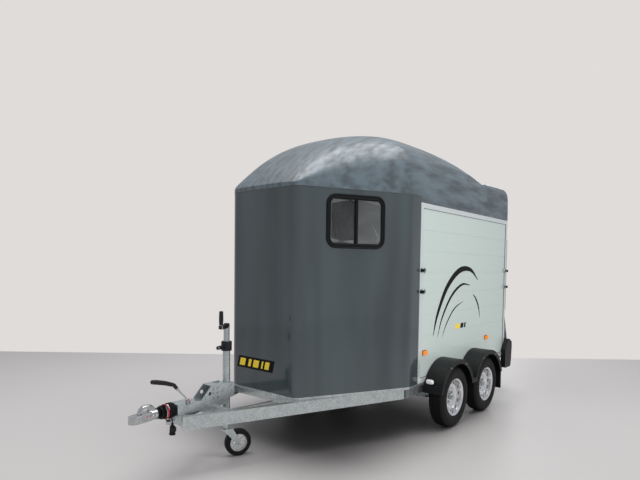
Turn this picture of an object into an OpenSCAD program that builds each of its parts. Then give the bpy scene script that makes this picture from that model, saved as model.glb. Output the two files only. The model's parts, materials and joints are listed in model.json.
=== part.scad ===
// Two-horse trailer with a moulded V-shaped front, aluminium side walls, a tandem axle,
// an overrun coupling on an A-frame drawbar and a rear loading ramp.
// +X is forwards, +Y is the trailer's left and +Z is up. Every module works in "road" coordinates,
// whose X is measured from the middle of the two axles; place() moves them to the part's own origin.

/* [Body] */
// Width over the side walls
body_w = 1780; // [1500:10:2000]
// Reach of the flat nose ahead of the axles' middle
nose_x = 2020; // [1700:10:2400]
// Width of the flat nose
nose_w = 800; // [500:10:1000]
// Where the slanted front meets the straight side
corner_x = 1025; // [800:5:1200]
// Front edge of the aluminium side wall
panel_x = 856; // [700:2:950]
// Reach of the body behind the axles' middle
tail_x = 1350; // [1100:10:1800]
// Underside of the body
floor_z = 480; // [440:5:560]
// Top of the aluminium side wall
wall_top_z = 2180; // [1800:10:2300]
// Rise of the moulded front above the side wall
front_rise = 55; // [20:5:65]
// Thickness of the moulded front and roof
shell_t = 20; // [12:1:30]
// Thickness of the aluminium planks
wall_t = 23; // [15:1:30]
// Height of one aluminium plank
plank_h = 200; // [120:10:400]
// Width of the aluminium edge profiles
edge_w = 48; // [30:1:60]

/* [Roof] */
// Rise of the roof's crest above the side wall
crest_rise = 700; // [520:10:820]
// Rise of the roof behind the crest above the side wall
saddle_rise = 460; // [320:10:570]

/* [Wheels] */
// Distance between the two axles
axle_gap = 780; // [720:5:900]
// Radius of a road tyre
tyre_r = 297; // [270:1:320]
// Width of a road tyre
tyre_w = 165; // [140:1:185]
// Radius of the rim's flange
rim_r = 181; // [165:1:200]
// Gap between body side and tyre
tyre_gap = 15; // [10:1:40]
// Radius of the mudguard's outer edge
guard_r = 381; // [350:1:400]
// Width of a mudguard
guard_w = 200; // [190:1:240]

/* [Drawbar] */
// Reach of the coupling's tip ahead of the axles' middle
tip_x = 3262; // [3000:1:3500]
// Height of the coupling's middle line
tow_z = 498; // [470:1:540]
// Height of a drawbar beam
beam_h = 100; // [70:1:120]
// Width of a drawbar beam
beam_w = 50; // [40:1:70]
// Distance of the jockey wheel ahead of the axles' middle
jockey_x = 2410; // [2300:5:2450]
// Radius of the jockey wheel
jockey_r = 110; // [90:1:120]

/* [Ramp] */
// Distance from the top of the side wall down to the ramp's top edge
ramp_drop = 240; // [130:10:400]
// Distance from the body's side to the ramp's edge
ramp_side = 90; // [70:5:200]
// Thickness of the ramp
ramp_t = 40; // [30:1:60]
// Gap round the ramp, the hatch and the groom's door
ramp_gap = 6; // [5:1:12]

/* [Hidden] */
$fn = 48;

galvanised = "#a9b2b3";
anthracite = "#454f52";
aluminium = "#c3cec8";
black = "#1c1e20";
grey_steel = "#d0d2d2";

eps = 1;
tail_reach = tail_x + 150;
place_x = -(tip_x - tail_reach) / 2;
half_w = body_w / 2;
front_top_z = wall_top_z + front_rise;
crest_z = wall_top_z + crest_rise;
saddle_z = wall_top_z + saddle_rise;
eaves_z = wall_top_z + 120;
ramp_top_z = wall_top_z - ramp_drop;
ramp_w = body_w - 2 * ramp_side;
module place() translate([place_x, 0, 0]) children();

// Turns a Z axis to point along +Y, for wheels, pins and plates that stand upright.
module upright(x = 0, y = 0, z = 0) translate([x, y, z]) rotate([-90, 0, 0]) children();
// Extrudes a profile drawn in Y and Z from x0 to x1.
module across_x(x0, x1) translate([x0, 0, 0]) rotate([90, 0, 90]) linear_extrude(x1 - x0) children();
// Extrudes a profile drawn in X and Z from y0 to y1.
module across(y0, y1) translate([0, y1, 0]) rotate([90, 0, 0]) linear_extrude(y1 - y0) children();
module block(lo, hi) translate(lo) cube(hi - lo);
// A copy for each side; side is 1 for left and -1 for right.
module sided(side) scale_y(side) children();
module scale_y(side) if (side > 0) children(); else mirror([0, 1, 0]) children();
module both_sides() for (side = [1, -1]) sided(side) children();

// Points of a polygon whose corners are [x, y, radius], each rounded by an arc.
function unit(v) = v / norm(v);
function rounded(c, steps = 8) = [for (i = [0 : len(c) - 1])
    let (n = len(c), p = [c[i][0], c[i][1]], r = c[i][2],
        a = unit([c[(i + n - 1) % n][0], c[(i + n - 1) % n][1]] - p),
        b = unit([c[(i + 1) % n][0], c[(i + 1) % n][1]] - p),
        half = acos(max(-1, min(1, a * b))) / 2,
        reach = r / tan(half), middle = p + unit(a + b) * r / sin(half),
        from = p + a * reach - middle, to = p + b * reach - middle,
        sweep = 180 - 2 * half, turn = (from[0] * to[1] - from[1] * to[0]) > 0 ? 1 : -1)
    each r <= 0 ? [p] : [for (k = [0 : steps])
        let (t = turn * sweep * k / steps)
        middle + [from[0] * cos(t) - from[1] * sin(t), from[0] * sin(t) + from[1] * cos(t)]]];

// The body's plan, drawn in by inset, from rear_x to the nose: nose, slanted faces, sides.
slant = unit([half_w - nose_w / 2, nose_x - corner_x]);
function slant_x(y, inset) = (slant * [nose_x, nose_w / 2] - inset - slant[1] * y) / slant[0];
function slant_y(x, inset) = (slant * [nose_x, nose_w / 2] - inset - slant[0] * x) / slant[1];
nose_r = 110;
shoulder_r = 140;
function plan(inset, rear_x, steps = 8) = rounded([
    [rear_x, -half_w + inset, 0],
    [slant_x(half_w - inset, inset), -half_w + inset, shoulder_r - inset],
    [nose_x - inset, -slant_y(nose_x - inset, inset), nose_r - inset],
    [nose_x - inset, slant_y(nose_x - inset, inset), nose_r - inset],
    [slant_x(half_w - inset, inset), half_w - inset, shoulder_r - inset],
    [rear_x, half_w - inset, 0]], steps);

// Chassis: sills along the sides, crossmembers between them and the A-frame drawbar in front
rail_h = 22;
rail_z = floor_z - rail_h;
sill_w = 50;
sill_z = rail_z - beam_h;
sill_y = half_w - 100;
fit = 0.3;
cross_x = [-tail_x + 20, -840, 0, 620];
module chassis_frame() color(galvanised) {
    both_sides() block([-tail_x, sill_y, sill_z], [beam_back[0] - 30, sill_y + sill_w, rail_z - fit]);
    for (x = cross_x) block([x, -sill_y + fit, sill_z + 30], [x + 50, sill_y - fit, rail_z - fit]);
}

// A drawbar beam runs level from the overrun housing to the sill.
beam_front = [tip_x - 370, 86];
beam_back = [1000, half_w - 75];
beam_dir = unit(beam_back - beam_front);
beam_len = norm(beam_back - beam_front);
beam_yaw = atan2(beam_dir[1], beam_dir[0]);
function beam_y(x) = beam_front[1] + (x - beam_front[0]) * beam_dir[1] / beam_dir[0];
function plate_y(x) = beam_y(x) - (beam_w / 2 + fit) / abs(beam_dir[0]);
module beam_frame() translate([beam_front[0], beam_front[1], sill_z]) rotate([0, 0, beam_yaw]) children();
module drawbar() color(galvanised) {
    both_sides() beam_frame() translate([0, -beam_w / 2, 0]) cube([beam_len, beam_w, beam_h - fit]);
    translate([beam_front[0] - 8, -75, 395]) rotate([0, 90, 0]) difference() {
        cylinder(r = 10, h = 9);
        cylinder(r = cord_d / 2 + 0.1, h = 10);
    }
    // cross plates: under the housing's foot and below the nose
    for (x = [tip_x - 420, tip_x - 740, nose_x - 120]) translate([0, 0, sill_z + 20]) linear_extrude(beam_h - 20 - fit)
        polygon([[x, -plate_y(x)], [x + 40, -plate_y(x + 40)], [x + 40, plate_y(x + 40)], [x, plate_y(x)]]);
}

module floor_rail() color(galvanised) translate([0, 0, rail_z]) difference() {
    linear_extrude(rail_h - fit) polygon(plan(0, -tail_x));
    translate([0, 0, 4]) linear_extrude(rail_h) polygon(plan(4, -tail_x + 4));
    translate([0, 0, -eps]) linear_extrude(rail_h) polygon(plan(60, -tail_x + 60));
}
floor_t = 40;
module floor_board() color("#6b5744") translate([0, 0, rail_z + 4 + fit])
    linear_extrude(floor_t) polygon(plan(28 + fit, -tail_x + 20 + fit));

// Window in the left slanted face, and the same in the groom's door on the right.
slant_len = norm([nose_x - corner_x, half_w - nose_w / 2]);
slant_yaw = atan2(half_w - nose_w / 2, corner_x - nose_x);
window_w = 516;
window_h = 416;
window_r = 66;
window_z = wall_top_z - 220;
window_at = 546;
frame_w = 22;
// Coordinates on the slanted face: X runs back from the nose corner, Y is outwards, Z up.
module on_slant(along, z, side = 1) sided(side)
    translate([nose_x, nose_w / 2, 0]) rotate([0, 0, slant_yaw]) translate([along, 0, z]) rotate([0, 0, 180]) children();
module rounded_slab(w, h, r, y0, y1) across(y0, y1)
    polygon(rounded([[-w / 2, -h / 2, r], [w / 2, -h / 2, r], [w / 2, h / 2, r], [-w / 2, h / 2, r]]));

// Groom's door in the right slanted face
door_w = window_w + 184;
door_z0 = floor_z + 60;
door_z1 = wall_top_z - 30;
door_r = 70;
door_at = 555;
door_gap = ramp_gap;
door_window_h = 380;
door_window_z = wall_top_z - 330;
door_h = door_z1 - door_z0;
door_mid = (door_z0 + door_z1) / 2;
module front_shell() color(anthracite) difference() {
    translate([0, 0, floor_z]) linear_extrude(front_top_z - floor_z) difference() {
        polygon(plan(0, panel_x + fit));
        polygon(plan(shell_t, panel_x - 100));
    }
    on_slant(window_at, window_z) rounded_slab(window_w, window_h, window_r, -60, 60);
    on_slant(door_at, door_mid, -1)
        rounded_slab(door_w + 2 * door_gap, door_h + 2 * door_gap, door_r + door_gap, -60, 60);
}
module window_ring(w, h, r) difference() {
    union() {
        rounded_slab(w + 2 * frame_w, h + 2 * frame_w, r + frame_w, fit, 12);
        rounded_slab(w - 2 * fit, h - 2 * fit, r - fit, -shell_t - 4, fit + 1);
    }
    rounded_slab(w - 28, h - 28, r - 14, -50, 50);
}
module window_frame() color(black) on_slant(window_at, window_z) {
    window_ring(window_w, window_h, window_r);
    block([-9, -10, -window_h / 2 + 10], [9, 8, window_h / 2 - 10]);
}
module window_glass() color("#9fb0b4") on_slant(window_at, window_z) difference() {
    rounded_slab(window_w - 29, window_h - 29, window_r - 15, -6, -2);
    block([-9 - fit, -12, -window_h / 2], [9 + fit, 2, window_h / 2]);
}

// Roof: a loft of squarish arches, one for each station of the body's plan
roof_table = [ // [x, crown height, crease height, squareness]
    [-tail_x, saddle_z - 5, eaves_z, 5.5], [-1150, saddle_z + 2, eaves_z, 5.0], [-900, saddle_z, eaves_z, 4.6],
    [-700, saddle_z + 15, eaves_z + 2, 4.0], [-450, crest_z - 130, eaves_z + 5, 3.3], [-150, crest_z - 52, eaves_z + 10, 2.9],
    [150, crest_z - 12, eaves_z + 15, 2.7], [500, crest_z, eaves_z + 25, 2.6], [1000, crest_z - 25, eaves_z + 35, 2.6],
    [1150, crest_z - 52, eaves_z + 25, 2.6], [1300, crest_z - 95, eaves_z + 15, 2.6], [1500, crest_z - 185, eaves_z, 2.7],
    [1700, crest_z - 310, eaves_z - 15, 2.8], [1850, crest_z - 432, eaves_z - 28, 3.0], [1950, crest_z - 525, eaves_z - 38, 3.2],
    [nose_x, eaves_z - 28, eaves_z - 45, 3.4]];
function crown(x) = lookup(x, [for (r = roof_table) [r[0], r[1]]]);
function crease(x) = lookup(x, [for (r = roof_table) [r[0], r[2]]]);
function square_n(x) = lookup(x, [for (r = roof_table) [r[0], r[3]]]);
arch_steps = 11;
// Stations [x, half width] from the nose back to rear_x, with the plan's own corner points
function stations(inset) = let (c = plan(inset, -tail_x, 4), half = (len(c) - 2) / 2,
    arcs = [for (i = [half + 1 : len(c) - 2]) c[i]], arc_n = len(arcs) / 2, a = arcs[arc_n - 1], b = arcs[arc_n],
    last = arcs[len(arcs) - 1])
    concat([for (i = [0 : arc_n - 1]) arcs[i]], [for (k = [1 : 5]) a + (b - a) * k / 6],
        [for (i = [arc_n : len(arcs) - 1]) arcs[i]],
        [for (x = [500, 150, -150, -300, -450, -575, -700, -800, -900, -1100]) [x, half_w - inset]],
        [[-tail_x, half_w - inset]]);
// One arch: half width w at station x, from the base up the side band, over the crown and down again
function arch_points(x, w, inset, base) = let (c = crease(x), n = square_n(x), rise = crown(x) - inset - c,
    side = [for (k = [0 : arch_steps]) let (t = 90 * k / arch_steps)
        [w * pow(cos(t), 2 / n), c + rise * pow(sin(t), 2 / n)]],
    right = [for (p = side) if (p[0] > 0.01) [x, -p[0], p[1]]])
    concat([[x, w, base]], [for (p = side) if (p[0] > 0.01) [x, p[0], p[1]]],
        [[x, 0, crown(x) - inset]], [for (i = [len(right) - 1 : -1 : 0]) right[i]], [[x, -w, base]]);
module loft(rings) {
    m = len(rings[0]);
    polyhedron([for (r = rings) each r], concat([[for (i = [m - 1 : -1 : 0]) i]],
        [for (j = [0 : len(rings) - 2]) for (i = [0 : m - 1]) let (a = j * m + i, b = j * m + (i + 1) % m)
            each [[a, b + m, a + m], [a, b, b + m]]],
        [[for (i = [0 : m - 1]) (len(rings) - 1) * m + i]]), convexity = 6);
}
module roof_shell() color(anthracite) difference() {
    loft([for (s = stations(0)) arch_points(s[0], s[1], 0, wall_top_z + fit)]);
    loft(concat([for (s = stations(shell_t)) arch_points(s[0], s[1], shell_t, wall_top_z - 20)],
        [arch_points(-tail_x - 50, half_w - shell_t, shell_t, wall_top_z - 20)]));
    block([panel_x, -half_w - 50, wall_top_z - 30], [nose_x + 50, half_w + 50, front_top_z + fit]);
}

// Side walls: horizontal planks with a groove at each joint, in a frame of edge profiles
wall_x0 = -tail_x + edge_w;
wall_x1 = panel_x - edge_w;
wall_z0 = floor_z + edge_w;
wall_z1 = wall_top_z - edge_w;
wall_y = half_w - wall_t - 2;
module side_wall() color(aluminium) difference() {
    block([wall_x0, wall_y, wall_z0], [wall_x1, half_w - 2, wall_z1]);
    for (z = [wall_z0 + plank_h : plank_h : wall_z1 - 20])
        block([wall_x0 - eps, half_w - 4, z], [wall_x1 + eps, half_w, z + 5]);
}
module side_frame() color("#d5dcd9") difference() {
    block([-tail_x, wall_y - 3, floor_z], [panel_x, half_w + 3, wall_top_z]);
    block([wall_x0 - fit, wall_y - 10, wall_z0 - fit], [wall_x1 + fit, half_w + 10, wall_z1 + fit]);
}
module side_wall_left() side_wall();
module side_wall_right() sided(-1) side_wall();
module side_frame_left() side_frame();
module side_frame_right() sided(-1) side_frame();

portal_w = 60;
portal_y = wall_y - 3 - fit;
module rear_portal() color(galvanised) {
    both_sides() block([-tail_x, portal_y - portal_w, floor_z + floor_t], [-tail_x + portal_w, portal_y, wall_top_z]);
    block([-tail_x, -portal_y + portal_w + fit, floor_z + fit], [-tail_x + 20, portal_y - portal_w - fit, floor_z + floor_t]);
    block([-tail_x, -portal_y + portal_w + fit, wall_top_z - 130],
        [-tail_x + portal_w, portal_y - portal_w - fit, wall_top_z - 70]);
    // the ramp's hinge lugs
    both_sides() for (y = [300, 424]) upright(hinge_x, y, hinge_z) difference() {
        union() {
            cylinder(r = 16, h = 36);
            translate([0, -16, 0]) cube([-tail_x - fit - hinge_x, 32, 36]);
        }
        translate([0, 0, -eps]) cylinder(r = 8, h = 40);
    }
}
// Triangular side brackets behind the rear corners, with the tube that runs up each corner
bracket_y = [half_w - 32, half_w - 24];
module rear_brackets() color(galvanised) both_sides() {
    across(bracket_y[0], bracket_y[1]) polygon([[-tail_x - fit, 340], [-tail_x - fit, 1010],
        [-tail_reach + 6, 600], [-tail_reach + 6, 340], [-tail_reach + 40, 330]]);
    across(bracket_y[1] + fit, half_w - 4) polygon([[-tail_x - fit, 1010], [-tail_x - 14, 1000],
        [-tail_reach, 600], [-tail_reach, 340], [-tail_reach + 6, 340], [-tail_reach + 6, 598]]);
    translate([-tail_x - 14, half_w - 8, 1060]) cylinder(r = 12, h = wall_top_z - 1300);
    for (z = [1080, wall_top_z - 280]) block([-tail_x - 16, half_w - 20, z], [-tail_x - fit, half_w - 2, z + 20]);
}

// Mudguards: a twin arch of sheet with a deep lip on its outer edge
wheel_x = [axle_gap / 2, -axle_gap / 2];
guard_t = 5;
guard_z = tyre_r + 90;
guard_y0 = half_w + 3 + fit;
guard_y1 = guard_y0 + guard_w;
lip_h = 46;
module arch(r) intersection() {
    union() {
        for (x = wheel_x) translate([x, tyre_r]) circle(r = r, $fn = 96);
        translate([-45, tyre_r]) square([90, 135]);
    }
    translate([-tail_x, guard_z]) square([2 * tail_x, 600]);
}
module mudguard() color(black) difference() {
    across(guard_y0, guard_y1) arch(guard_r);
    across(guard_y0 - eps, guard_y1 - guard_t) translate([0, -eps]) for (x = wheel_x)
        translate([x, tyre_r]) circle(r = guard_r - guard_t, $fn = 96);
    for (x = wheel_x) upright(x, guard_y1 - 20, tyre_r) cylinder(r = guard_r - lip_h, h = 60, $fn = 96);
}
module mudguard_left() mudguard();
module mudguard_right() sided(-1) mudguard();
flap_x = -axle_gap / 2 - sqrt(pow(guard_r, 2) - 8100) + 5;
module mudflaps() color(black) both_sides()
    block([flap_x - 5, guard_y0 + 20, 190], [flap_x, guard_y1 - 8, guard_z - fit]);

// Torsion axles: a square tube under the sills with a trailing arm and a stub at each end
tube = 70;
arm_back = 150;
hub_y = half_w + tyre_gap + tyre_w / 2;
arm_y = half_w - 50;
stub_r = 19;
module axle(x) color(galvanised) {
    tube_z = sill_z - tube - fit;
    block([x + arm_back - tube / 2, -arm_y + 12 + fit, tube_z], [x + arm_back + tube / 2, arm_y - 12 - fit, sill_z - fit]);
    both_sides() {
        hull() {
            upright(x + arm_back, arm_y - 12, tube_z + tube / 2) cylinder(r = tube / 2 - 1, h = 30, $fn = 32);
            upright(x, arm_y - 12, tyre_r) cylinder(r = 28, h = 30, $fn = 32);
        }
        upright(x, arm_y + 18 - eps, tyre_r) cylinder(r = stub_r, h = hub_y - arm_y + 33);
    }
}
module axle_front() axle(wheel_x[0]);
module axle_rear() axle(wheel_x[1]);

// Steel wheel: a barrel with two flanges, a dished disc with vents and the hub with its drum
rim_y0 = hub_y - 70;
rim_y1 = hub_y + 70;
barrel_r = rim_r - 17;
disc_y = hub_y + 28;
vents = 20;
studs = 5;
stud_pcd = 112;
module rim_profile() polygon([[barrel_r - 4, rim_y0], [rim_r, rim_y0], [rim_r, rim_y0 + 4], [barrel_r, rim_y0 + 8],
    [barrel_r, rim_y1 - 8], [rim_r, rim_y1 - 4], [rim_r, rim_y1], [barrel_r - 4, rim_y1 - 6]]);
module disc_profile() polygon([[0, disc_y - 22], [72, disc_y - 22], [84, disc_y - 6], [118, disc_y + 4], [barrel_r - 2, disc_y - 14],
    [barrel_r - 2, disc_y - 20], [118, disc_y - 3], [86, disc_y - 12], [76, disc_y - 28], [0, disc_y - 28]]);
module turned() rotate([-90, 0, 0]) rotate_extrude($fn = 96) children();
module rim(x, side) color(grey_steel) sided(side) translate([x, 0, tyre_r]) difference() {
    union() {
        turned() rim_profile();
        turned() disc_profile();
        // brake drum and grease cap
        turned() polygon([[stub_r + 0.3, arm_y + 22], [105, arm_y + 22], [105, disc_y - 28], [0, disc_y - 28],
            [0, hub_y + 44], [stub_r + 0.3, hub_y + 0], [stub_r + 0.3, hub_y]]);
    }
    upright(0, arm_y + 20, 0) cylinder(r = stub_r + 0.3, h = hub_y - arm_y + 32);
    for (k = [0 : vents - 1]) rotate([0, 360 * k / vents, 0]) translate([140, disc_y, 0])
        rotate([-90, 0, 0]) translate([0, 0, -40]) cylinder(r = 7, h = 60, $fn = 16);
}
tread_r = tyre_r - 7;
module tyre_profile() difference() {
    polygon(concat([[rim_r - 15, hub_y - 62], [rim_r - 4, hub_y - 64], [rim_r + 45, hub_y - tyre_w / 2]],
        [[tyre_r - 30, hub_y - tyre_w / 2 + 4], [tyre_r - 6, hub_y - tyre_w / 2 + 20], [tyre_r, hub_y - 45],
        [tyre_r, hub_y + 45], [tyre_r - 6, hub_y + tyre_w / 2 - 20], [tyre_r - 30, hub_y + tyre_w / 2 - 4]],
        [[rim_r + 45, hub_y + tyre_w / 2], [rim_r - 4, hub_y + 64], [rim_r - 15, hub_y + 62]]));
    for (y = [-30, 0, 30]) translate([tread_r, hub_y + y - 3]) square([20, 6]);
}
module tyre(x, side) color(black) sided(side) translate([x, 0, tyre_r]) turned() tyre_profile();
module tyre_front_left() tyre(wheel_x[0], 1);
module tyre_front_right() tyre(wheel_x[0], -1);
module tyre_rear_left() tyre(wheel_x[1], 1);
module tyre_rear_right() tyre(wheel_x[1], -1);
module rim_front_left() rim(wheel_x[0], 1);
module rim_front_right() rim(wheel_x[0], -1);
module rim_rear_left() rim(wheel_x[1], 1);
module rim_rear_right() rim(wheel_x[1], -1);

// Overrun device: folded housing on the beams, bearing, drawshaft with bellows, ball coupling
housing_x0 = tip_x - 700;
housing_x1 = tip_x - 355;
cheek_x = [jockey_x + 30, tip_x - 662, tip_x - 572];
cheek_z = rail_z + 174;
shaft_r = 25;
bellows_r = 50;
module overrun_housing() color(galvanised) difference() {
    union() {
        across(-56, 56) polygon([[housing_x0 + 40, rail_z], [housing_x0 + 60, rail_z + 60], [housing_x0 + 190, rail_z + 82],
            [housing_x1, rail_z + 82], [housing_x1, rail_z]]);
        // tall cheeks that hold the jockey wheel's clamp
        for (y = [-56, 50]) across(y, y + 6) polygon([[cheek_x[0], rail_z], [cheek_x[0], cheek_z],
            [cheek_x[1], cheek_z], [cheek_x[2], rail_z + 82], [cheek_x[2], rail_z]]);
        block([cheek_x[0] + 90, -55, cheek_z - 6], [cheek_x[1], 55, cheek_z]);
        block([lever_at[0] - 20, 40, rail_z + 40], [lever_at[0] + 20, 55, lever_at[2] + 20]);
        lever_pin();
    }
    translate([housing_x1 - 200, 0, tow_z]) rotate([0, 90, 0]) cylinder(r = shaft_r + fit, h = 220);
    for (x = [cheek_x[1] - 60, cheek_x[1] - 20], z = [cheek_z - 30, cheek_z - 65, cheek_z - 100])
        upright(x, -70, z) cylinder(r = 5.5, h = 140);
    upright(cheek_x[1] + 16, -70, cheek_z - 62) cylinder(r = 15, h = 140);
}
module drawshaft() color(black) translate([housing_x1 - 190, 0, tow_z]) rotate([0, 90, 0]) {
    cylinder(r = shaft_r, h = 385);
    for (k = [0 : 9]) translate([0, 0, 192 + k * 11]) {
        cylinder(r1 = bellows_r - 9, r2 = bellows_r, h = 5.5);
        translate([0, 0, 5.5]) cylinder(r1 = bellows_r, r2 = bellows_r - 9, h = 5.5);
    }
}
head_x0 = housing_x1 + 145;
ball_x = tip_x - 42;
module coupling_head() color(grey_steel) difference() {
    union() {
        hull() {
            translate([ball_x, 0, tow_z - 34]) cylinder(r = 42, h = 50);
            translate([head_x0 + 50, -32, tow_z - 32]) cube([20, 64, 62]);
        }
        translate([head_x0, 0, tow_z]) rotate([0, 90, 0]) cylinder(r = 38, h = 66);
        // lifting grip
        across(-17, 17) polygon([[head_x0 + 20, tow_z + 20], [head_x0 + 34, tow_z + 62], [head_x0 + 60, tow_z + 70], [ball_x - 50, tow_z + 66],
            [ball_x - 26, tow_z + 12], [ball_x - 44, tow_z + 12], [ball_x - 62, tow_z + 52], [head_x0 + 66, tow_z + 56], [head_x0 + 60, tow_z + 20]]);
    }
    translate([ball_x, 0, tow_z - 40]) cylinder(r = 25.5, h = 40);
    translate([head_x0 - 20, 0, tow_z]) rotate([0, 90, 0]) cylinder(r = shaft_r + fit, h = 72);
}

// Handbrake lever beside the housing: disc, thin rod and bent grip
lever_at = [2813, 72, 545];
lever_bend = [2944, 690];
lever_end = [3130, 750];
module rod(a, b, r) translate([a[0], 0, a[1]]) rotate([0, 90 - atan2(b[1] - a[1], b[0] - a[0]), 0])
    cylinder(r = r, h = norm(b - a));
module brake_lever() color(black) translate([0, lever_at[1], 0]) {
    upright(lever_at[0], -9, lever_at[2]) difference() {
        cylinder(r = 22, h = 18);
        translate([0, 0, -eps]) cylinder(r = 6.3, h = 30);
    }
    rod([lever_at[0] + 14, lever_at[2] + 16], lever_bend, 6);
    rod([2915, 658], [2952, 699], 11);
    rod([2950, 697], [3010, 722], 13);
    rod([3006, 720], [3070, 738], 15);
    rod([3066, 737], lever_end, 14);
}
module lever_pin() upright(lever_at[0], 56 + fit - 10, lever_at[2]) cylinder(r = 6, h = 40);

// Jockey wheel: clamp in the cheeks, outer tube with its collar, leg with fork, wheel
tube_r = 30;
leg_r = 24;
tube_z0 = 280;
tube_z1 = 955;
module jockey_clamp() color(galvanised) difference() {
    block([jockey_x - 42, -50 + fit, rail_z + 50], [jockey_x + 100, 50 - fit, cheek_z - 10]);
    translate([jockey_x, 0, 0]) cylinder(r = tube_r + fit, h = 1000);
}
module jockey_tube() color(galvanised) translate([jockey_x, 0, 0]) difference() {
    union() {
        translate([0, 0, tube_z0]) cylinder(r = tube_r, h = tube_z1 - tube_z0);
        translate([0, 0, tube_z1 - 70]) cylinder(r = 40, h = 70);
        rotate([0, 0, 20]) translate([20, -14, tube_z1 - 48]) cube([115, 28, 22]);
        translate([0, 0, tube_z1]) cylinder(r = leg_r, h = 120);
        rotate([0, 0, 25]) translate([-20, -18, tube_z1 + 112]) cube([130, 36, 26]);
        rotate([0, 0, 25]) translate([98, 0, tube_z1 + 125]) cylinder(r = 14, h = 125);
    }
    translate([0, 0, tube_z0 - eps]) cylinder(r = leg_r + fit, h = 420);
}
caster_trail = 100;
caster_yaw = -22;
fork_z = 2 * jockey_r + 12;
module leg_frame() translate([jockey_x, 0, 0]) rotate([0, 0, caster_yaw]) children();
module jockey_leg() color(galvanised) leg_frame() {
    translate([0, 0, fork_z - 8]) cylinder(r = leg_r, h = tube_z0 + 390 - fork_z);
    translate([0, 0, fork_z - 8]) cylinder(r = 44, h = 14);
    both_sides() hull() {
        block([-44, 38, fork_z - 8], [26, 44, fork_z + 6]);
        upright(-caster_trail, 38, jockey_r) cylinder(r = 18, h = 6, $fn = 32);
    }
    upright(-caster_trail, -46, jockey_r) cylinder(r = 8, h = 92);
    block([-44, -44, fork_z - 8], [26, 44, fork_z + 6]);
}
module jockey_tyre() color(black) leg_frame() translate([-caster_trail, 0, jockey_r]) turned()
    polygon(rounded([[72, -32, 4], [jockey_r, -32, 16], [jockey_r, 32, 16], [72, 32, 4]]));
module jockey_rim() color(grey_steel) leg_frame() translate([-caster_trail, 0, jockey_r]) turned()
    polygon([[8 + fit, -30], [22, -30], [26, -6], [64, -6], [72 - fit, -26], [72 - fit, 26], [64, 6], [26, 6], [22, 30], [8 + fit, 30]]);

// Interior: partition between two posts, breast bars across the front of the bays
post_x = [590, -1120];
module partition() color("#3b3f42") {
    block([post_x[1] + 24 + fit, -15, floor_z + 280], [post_x[0] - 24 - fit, 15, wall_top_z - 480]);
    for (x = post_x) translate([x, 0, rail_z + 44 + 2 * fit]) cylinder(r = 24, h = crown(x) - shell_t - rail_z - 46);
}
module breast_bars() color(black) both_sides() for (x = post_x)
    upright(x, 24 + fit, floor_z + 700) cylinder(r = 22, h = wall_y - 3 - 24 - 2 * fit);

// Lamps
marker_x = [734, -761];
marker_z = 763;
module side_markers() color("orange") both_sides() for (x = marker_x)
    block([x - 36, half_w - 2 + fit, marker_z - 20], [x + 36, half_w + 20, marker_z + 20]);
front_lamp_z = 470;
lamp_x = wheel_x[0] + sqrt(pow(guard_r, 2) - pow(front_lamp_z - tyre_r, 2));
module front_lamps() color("white") both_sides()
    block([lamp_x + fit, half_w + 30, front_lamp_z], [lamp_x + 24, half_w + 110, front_lamp_z + 45]);
module lamp_boxes() color(black) both_sides() difference() {
    across(half_w - 24 + fit, half_w + 60) polygon(rounded([[-tail_reach + 45, 330, 30], [-tail_x + 90, 330, 20],
        [-tail_x + 90, 560, 60], [-tail_x - 20, 700, 40], [-tail_reach + 20, 640, 20]]));
    across(half_w - 50, half_w - 4) polygon([[-tail_x - fit, 1050], [-tail_reach - 10, 1050], [-tail_reach - 10, 300], [-tail_reach + 7, 300],
        [-tail_reach + 7, 600], [-tail_x - 14, 900]]);
    block([-tail_x - fit, half_w - 60, 300], [-tail_x + 200, half_w + 3 + fit, 1000]);
}
module lamp_lenses() color("red") both_sides()
    across(half_w + fit, half_w + 54) polygon([[-tail_reach + 18, 390], [-tail_reach + 39.8, 390],
        [-tail_reach + 22.8, 600], [-tail_reach + 1, 600]]);
tie_z = [1350, 1550];
module tie_rings() color(black) both_sides() for (x = [panel_x - edge_w / 2, -tail_x + edge_w / 2], z = tie_z)
    upright(x, half_w + 3 + fit, z) cylinder(r = 13, h = 24);

// Cables: the lighting cable comes out of the right beam, winds round the bellows and hangs by its plug
cord_d = 8;
coil_turns = 4.5;
coil_pitch = 8.4;
coil_r = bellows_r + fit + cord_d / 2;
coil_x = 2920;
lead_route = [[2893, -75, 395], [2901, -75, 395], [2909, -75, 397], [2919, -75, 405], [2926, -75, 416], [2929, -74, 429],
    [2929, -72, 441], [2927, -67, 454], [2925, -61, 468], [2924, -56, 483], [2924, -54, 498]];
tail_route = [[2962, 54, 498], [2962, 54, 484], [2961, 55, 470], [2959, 57, 456], [2957, 59, 442],
    [2956, 60, 430], [2956, 60, 418]];
plug_h = 78;
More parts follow.
